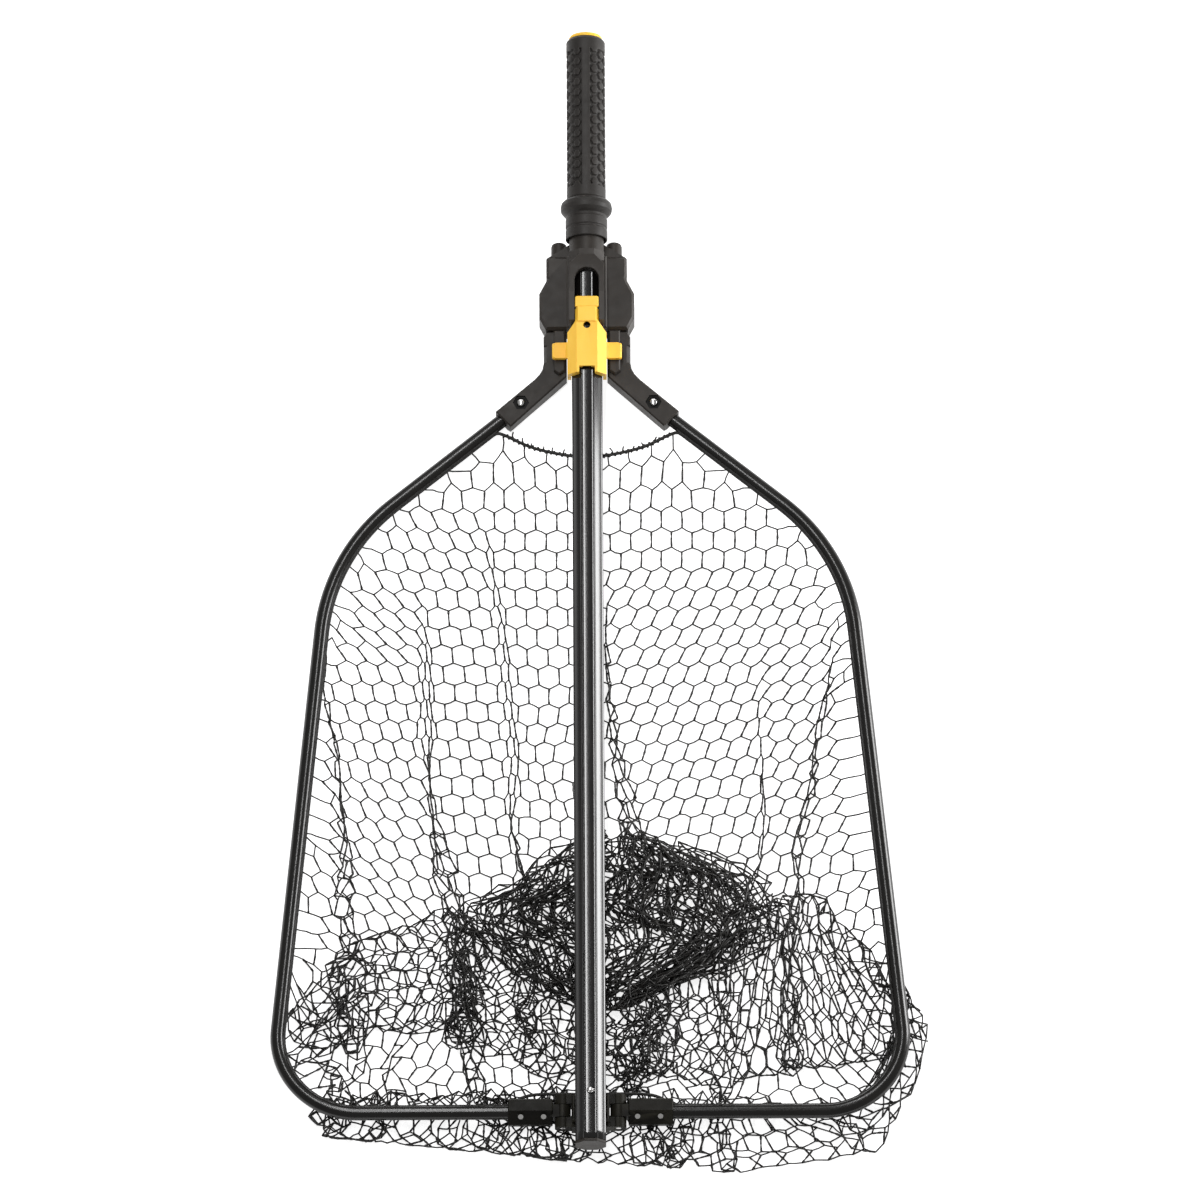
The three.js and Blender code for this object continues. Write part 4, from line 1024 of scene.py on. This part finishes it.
    # the gathered middle is spread out to the outline of the heap
    q = P[heap]
    rows = np.linspace(HEAP_Y[0], HEAP_Y[-1], 15)
    q[:, 1] = np.interp(q[:, 1], np.percentile(q[:, 1], [0, 2, 10, 50, 90, 98, 100]), [HEAP_Y[0] - 3, HEAP_Y[0] + 6, HEAP_Y[0] + 30, HEAP[1], HEAP_Y[-1] - 30, HEAP_Y[-1] - 6, HEAP_Y[-1] + 3])
    lo, hi = [], []
    for y in rows:
        near = q[np.abs(q[:, 1] - y) < 14, 0]
        lo.append(np.percentile(near, 4))
        hi.append(np.percentile(near, 96))
    lo, hi = np.interp(q[:, 1], rows, lo), np.interp(q[:, 1], rows, hi)
    want_lo, want_hi = np.interp(q[:, 1], HEAP_Y, HEAP_LEFT), np.interp(q[:, 1], HEAP_Y, HEAP_RIGHT)
    q[:, 0] = want_lo + (q[:, 0] - lo) / (hi - lo) * (want_hi - want_lo)
    P[heap] = q + 3.4 * sample(fine_f, kk[heap], ii[heap])
    P = solve(P, 3, 0.1, 0.05)

    # heights: the layers are stacked in order wherever the mesh lies over itself
    order = np.where(kk <= ROW_REAR, 0.08 + 0.25 * (sample(order_f, kk, ii)[:, 0] > 0.9), 0.0)
    order = np.where(heap, 0.58 + 0.17 * sample(order_f, kk, ii)[:, 0], order)
    order = np.where(kk >= ROW_LOW, np.interp(tk, [0, 0.2, 0.37, 0.55, 0.7, 0.8, 0.9, 1.0], [0.45, 0.3, 0.6, 0.75, 0.4, 0.12, 0.3, 0.55]) + 0.05 * sample(order_f, kk, ii)[:, 0], order)
    cell = 14.0
    gxy = np.floor(P / cell).astype(int)
    table = {}
    for a in range(n):
        table.setdefault((gxy[a, 0], gxy[a, 1]), []).append(a)
    layers = np.zeros(n)
    rank = np.zeros(n)
    for (cx, cy), members in table.items():
        around = np.array([b for dx in (-1, 0, 1) for dy in (-1, 0, 1) for b in table.get((cx + dx, cy + dy), ())])
        for a in members:
            d = P[around] - P[a]
            w = np.clip(1.25 - np.hypot(d[:, 0], d[:, 1]) / 16.0, 0, 1)
            tot = w.sum()
            layers[a] = tot
            rank[a] = (w * (order[around] < order[a])).sum() / tot
    single = np.median(layers[(kk > 3) & (kk < 10)])
    layers = layers / single
    thick = 1.0 + 2.7 * np.clip(layers - 1.0, 0, 11)
    z = 1.1 + rank * thick
    pairs_a, pairs_b = np.r_[ea, eb], np.r_[eb, ea]
    cnt = np.bincount(pairs_a, minlength=n)
    for _ in range(4):
        z = 0.5 * z + 0.5 * np.bincount(pairs_a, z[pairs_b], minlength=n) / np.maximum(cnt, 1)
    rim_all = np.vstack([rim[::20, :2], rim[::20, :2] * [-1, 1], rear[:, :2], front[::6, :2]])
    near = np.min(np.hypot(P[:, None, 0] - rim_all[None, :, 0], P[:, None, 1] - rim_all[None, :, 1]), axis=1)
    slope = 11.5 * np.clip(1 - near / 62.0, 0, 1) ** 1.5
    z = np.where(rear_rows, np.maximum(z, 1.2 + slope) + ridge, z)
    z = np.minimum(z, ceiling(P))
    z = np.maximum(z, 1.0)
    # cut ends that stand out of the lashing on the rear cord
    tufts = []
    for x in np.arange(-70, 71, 9.4):
        if abs(x) < 9:
            continue
        y0, z0 = np.interp(x, rear[:, 0], rear[:, 1]), np.interp(x, rear[:, 0], rear[:, 2])
        lean = rng.uniform(-0.7, 0.7)
        h = rng.uniform(3.5, 7.0)
        base = np.array([x, y0, z0 + 1.0])
        tufts.append([base, base + h * np.array([math.sin(lean) * 0.8, 0.85, 0.25 * rng.uniform(0, 1)])])
    return dict(P=np.column_stack([P, z]), ea=ea, eb=eb, kind=kind, la=la, lp=lp, k=kk, i=ii, layers=layers, tufts=np.array(tufts))


def ceiling(P):
    """How high the mesh may lie: under the stowed handle, the hoop tubes, the brackets and the front link."""
    x, y = np.abs(P[:, 0]), P[:, 1]
    top = np.full(len(P), 33.0)
    top = np.minimum(top, 20.8 + 0.9 * np.maximum(0, x - 19.0))
    line = np.array([p for p, _ in hoop_line(47.0, 39.5, 24, 24)])
    fine = []
    for a, b in zip(line[:-1], line[1:]):
        m = max(1, int(np.linalg.norm(b - a) / 6))
        fine += [a + (b - a) * j / m for j in range(m)]
    fine = np.array(fine + [line[-1]])
    d = np.min(np.hypot(x[:, None] - fine[None, :, 0], y[:, None] - fine[None, :, 1]), axis=1)
    top = np.minimum(top, 7.6 + 1.0 * np.maximum(0, d - 9.5))

    def box_distance(x0, x1, y0, y1):
        dx = np.maximum(np.maximum(x0 - x, x - x1), 0)
        dy = np.maximum(np.maximum(y0 - y, y - y1), 0)
        return np.hypot(dx, dy)

    top = np.minimum(top, 3.6 + 1.0 * box_distance(33, 79, -817, -788))
    top = np.minimum(top, 1.1 + 0.6 * box_distance(0, 36, -821, -783))
    return top


def net_strands(net):
    """Every side of every cell as its own twisted twine: thin where one ply runs, thicker where two are twisted together."""
    rng = np.random.default_rng(5)
    P = net["P"]
    a = np.vstack([P[net["ea"]], P[net["la"]]])
    b = np.vstack([P[net["eb"]], net["lp"]])
    kind = np.r_[net["kind"], np.full(len(net["la"]), 2)]
    a = np.vstack([a, net["tufts"][:, 0]])
    b = np.vstack([b, net["tufts"][:, 1]])
    kind = np.r_[kind, np.full(len(net["tufts"]), 3)]
    out = {}
    for side, pick in (("left", (a[:, 0] + b[:, 0]) < 0), ("right", (a[:, 0] + b[:, 0]) >= 0)):
        verts, faces, base = [], [], 0
        for thick in (False, True):
            m = pick & ((kind == 1) == thick)
            p, q = a[m], b[m]
            d = q - p
            length = np.linalg.norm(d, axis=1, keepdims=True) + 1e-9
            d = d / length
            up = np.tile(np.array([0.0, 0.0, 1.0]), (len(d), 1))
            up[np.abs(d[:, 2]) > 0.95] = (1.0, 0.0, 0.0)
            n = np.cross(d, up)
            n /= np.linalg.norm(n, axis=1, keepdims=True)
            w = np.cross(n, d)
            count = len(p)
            start = rng.uniform(0, math.pi, count)
            if thick:
                sides, ts, r1, r2 = 6, (-0.03, 0.12, 0.5, 0.88, 1.03), 1.22, 0.92
                grow = (0.80, 1.0, 0.96, 1.0, 0.80)
            else:
                sides, ts, r1, r2 = 5, (-0.02, 0.5, 1.02), 0.86, 0.76
                grow = (0.95, 0.92, 0.95)
            bend = rng.standard_normal((count, 2)) * (0.25 if thick else 0.42)
            rings = []
            for t, g in zip(ts, grow):
                centre = p + d * length * t
                arch = 4 * t * (1 - t) if 0 < t < 1 else 0.0
                centre = centre + (n * bend[:, :1] + w * bend[:, 1:] * 0.5) * arch
                ang = start[:, None] + (math.pi * 1.1 * t if thick else 0.0)
                ring = []
                for s in range(sides):
                    al = 2 * math.pi * s / sides
                    c, v = r1 * g * math.cos(al), r2 * g * math.sin(al)
                    x = c * np.cos(ang) - v * np.sin(ang)
                    y = c * np.sin(ang) + v * np.cos(ang)
                    ring.append(centre + n * x + w * y)
                rings.append(np.stack(ring, 1))
            R = np.stack(rings, 1)  # strand, ring, side, xyz
            k = len(ts)
            idx = base + np.arange(count * k * sides).reshape(count, k, sides)
            for j in range(k - 1):
                for s in range(sides):
                    s2 = (s + 1) % sides
                    faces.append(np.stack([idx[:, j, s], idx[:, j, s2], idx[:, j + 1, s2], idx[:, j + 1, s]], 1))
            ends = [(idx[:, 0, ::-1], idx[:, k - 1, :])]
            out.setdefault(side, []).append(ends[0])
            verts.append(R.reshape(-1, 3))
            base += count * k * sides
        out[side] = (np.vstack(verts), np.vstack(faces), out[side])
    return out


def net_piece(side, sgn, verts, quads, caps):
    verts = verts.copy()
    verts[:, 2] = np.maximum(verts[:, 2], 0.15)
    loops = [quads.reshape(-1)]
    sizes = [np.full(len(quads), 4)]
    for first, last in caps:
        for c in (first, last):
            loops.append(c.reshape(-1))
            sizes.append(np.full(len(c), c.shape[1]))
    loops, sizes = np.concatenate(loops), np.concatenate(sizes)
    mesh = bpy.data.meshes.new(f"{side}_net")
    mesh.vertices.add(len(verts))
    mesh.vertices.foreach_set("co", (verts * 0.001).astype(np.float32).reshape(-1))
    mesh.loops.add(len(loops))
    mesh.loops.foreach_set("vertex_index", loops.astype(np.int32))
    mesh.polygons.add(len(sizes))
    mesh.polygons.foreach_set("loop_start", np.r_[0, np.cumsum(sizes)[:-1]].astype(np.int32))
    mesh.polygons.foreach_set("loop_total", sizes.astype(np.int32))
    mesh.update(calc_edges=True)
    mesh.validate()
    mesh.polygons.foreach_set("use_smooth", np.ones(len(mesh.polygons), bool))
    # faces wound outwards
    bm = bmesh.new()
    bm.from_mesh(mesh)
    bmesh.ops.recalc_face_normals(bm, faces=bm.faces)
    bm.to_mesh(mesh)
    bm.free()
    o = add_object(f"{side}_net", mesh, TWINE)
    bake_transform(o)
    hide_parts(f"net_bag_{side}", *(["net_bag_middle"] if side == "right" else []))
    # half of the netting laid out flat is 110 rows long and as wide as its mean row; its twine alone covers the least
    # share of
    # that flat size: 0.143 m2 left and 0.170 m2 right at the strands' own lengths
    return o


NET_STRANDS = net_strands(net_nodes())
for side, sgn in (("left", -1), ("right", 1)):
    net_piece(side, sgn, *NET_STRANDS[side])


# ---------------------------------------------------------------- studio
def floor():
    m, nt, shader, co = new_material("paper_floor")
    tone = ranged(nt, noise(nt, co, 3.0, 3.0), 0.3, 0.7, 0.0, 1.0)
    nt.links.new(mixed(nt, tone, (0.90, 0.90, 0.90), (0.93, 0.93, 0.93)), shader.inputs["Base Color"])
    shader.inputs["Roughness"].default_value = 0.9
    shader.inputs["Specular IOR Level"].default_value = 0.0
    shader.inputs["Emission Color"].default_value = (1, 1, 1, 1)
    shader.inputs["Emission Strength"].default_value = 0.78
    mesh = bpy.data.meshes.new("floor")
    s = 6.0
    mesh.from_pydata([(-s, -s, -0.0003), (s, -s, -0.0003), (s, s, -0.0003), (-s, s, -0.0003)], [], [(0, 1, 2, 3)])
    add_object("floor", mesh, m)


floor()


def softbox(name, location, target, width, height, power):
    data = bpy.data.lights.new(name, "AREA")
    data.shape = "RECTANGLE"
    data.size, data.size_y = width, height
    data.energy = power
    o = bpy.data.objects.new(name, data)
    scene.collection.objects.link(o)
    o.location = location
    o.rotation_mode = "QUATERNION"
    o.rotation_quaternion = (Vector(target) - Vector(location)).to_track_quat("-Z", "Y")
    o.visible_camera = False
    return o


softbox("top_strip", (-0.155, 0.12, 1.46), (-0.155, -0.36, 0.03), 0.13, 1.6, 14)
softbox("right_box", (1.95, 0.13, 0.46), (0.0, 0.13, 0.04), 0.86, 0.90, 42)
softbox("rear_box", (0.0, 2.6, 2.2), (0, -0.3, 0.03), 2.4, 0.9, 12)
world = bpy.data.worlds.new("studio")
scene.world = world
world.use_nodes = True
world.node_tree.nodes["Background"].inputs["Color"].default_value = (1, 1, 1, 1)
world.node_tree.nodes["Background"].inputs["Strength"].default_value = 0.33
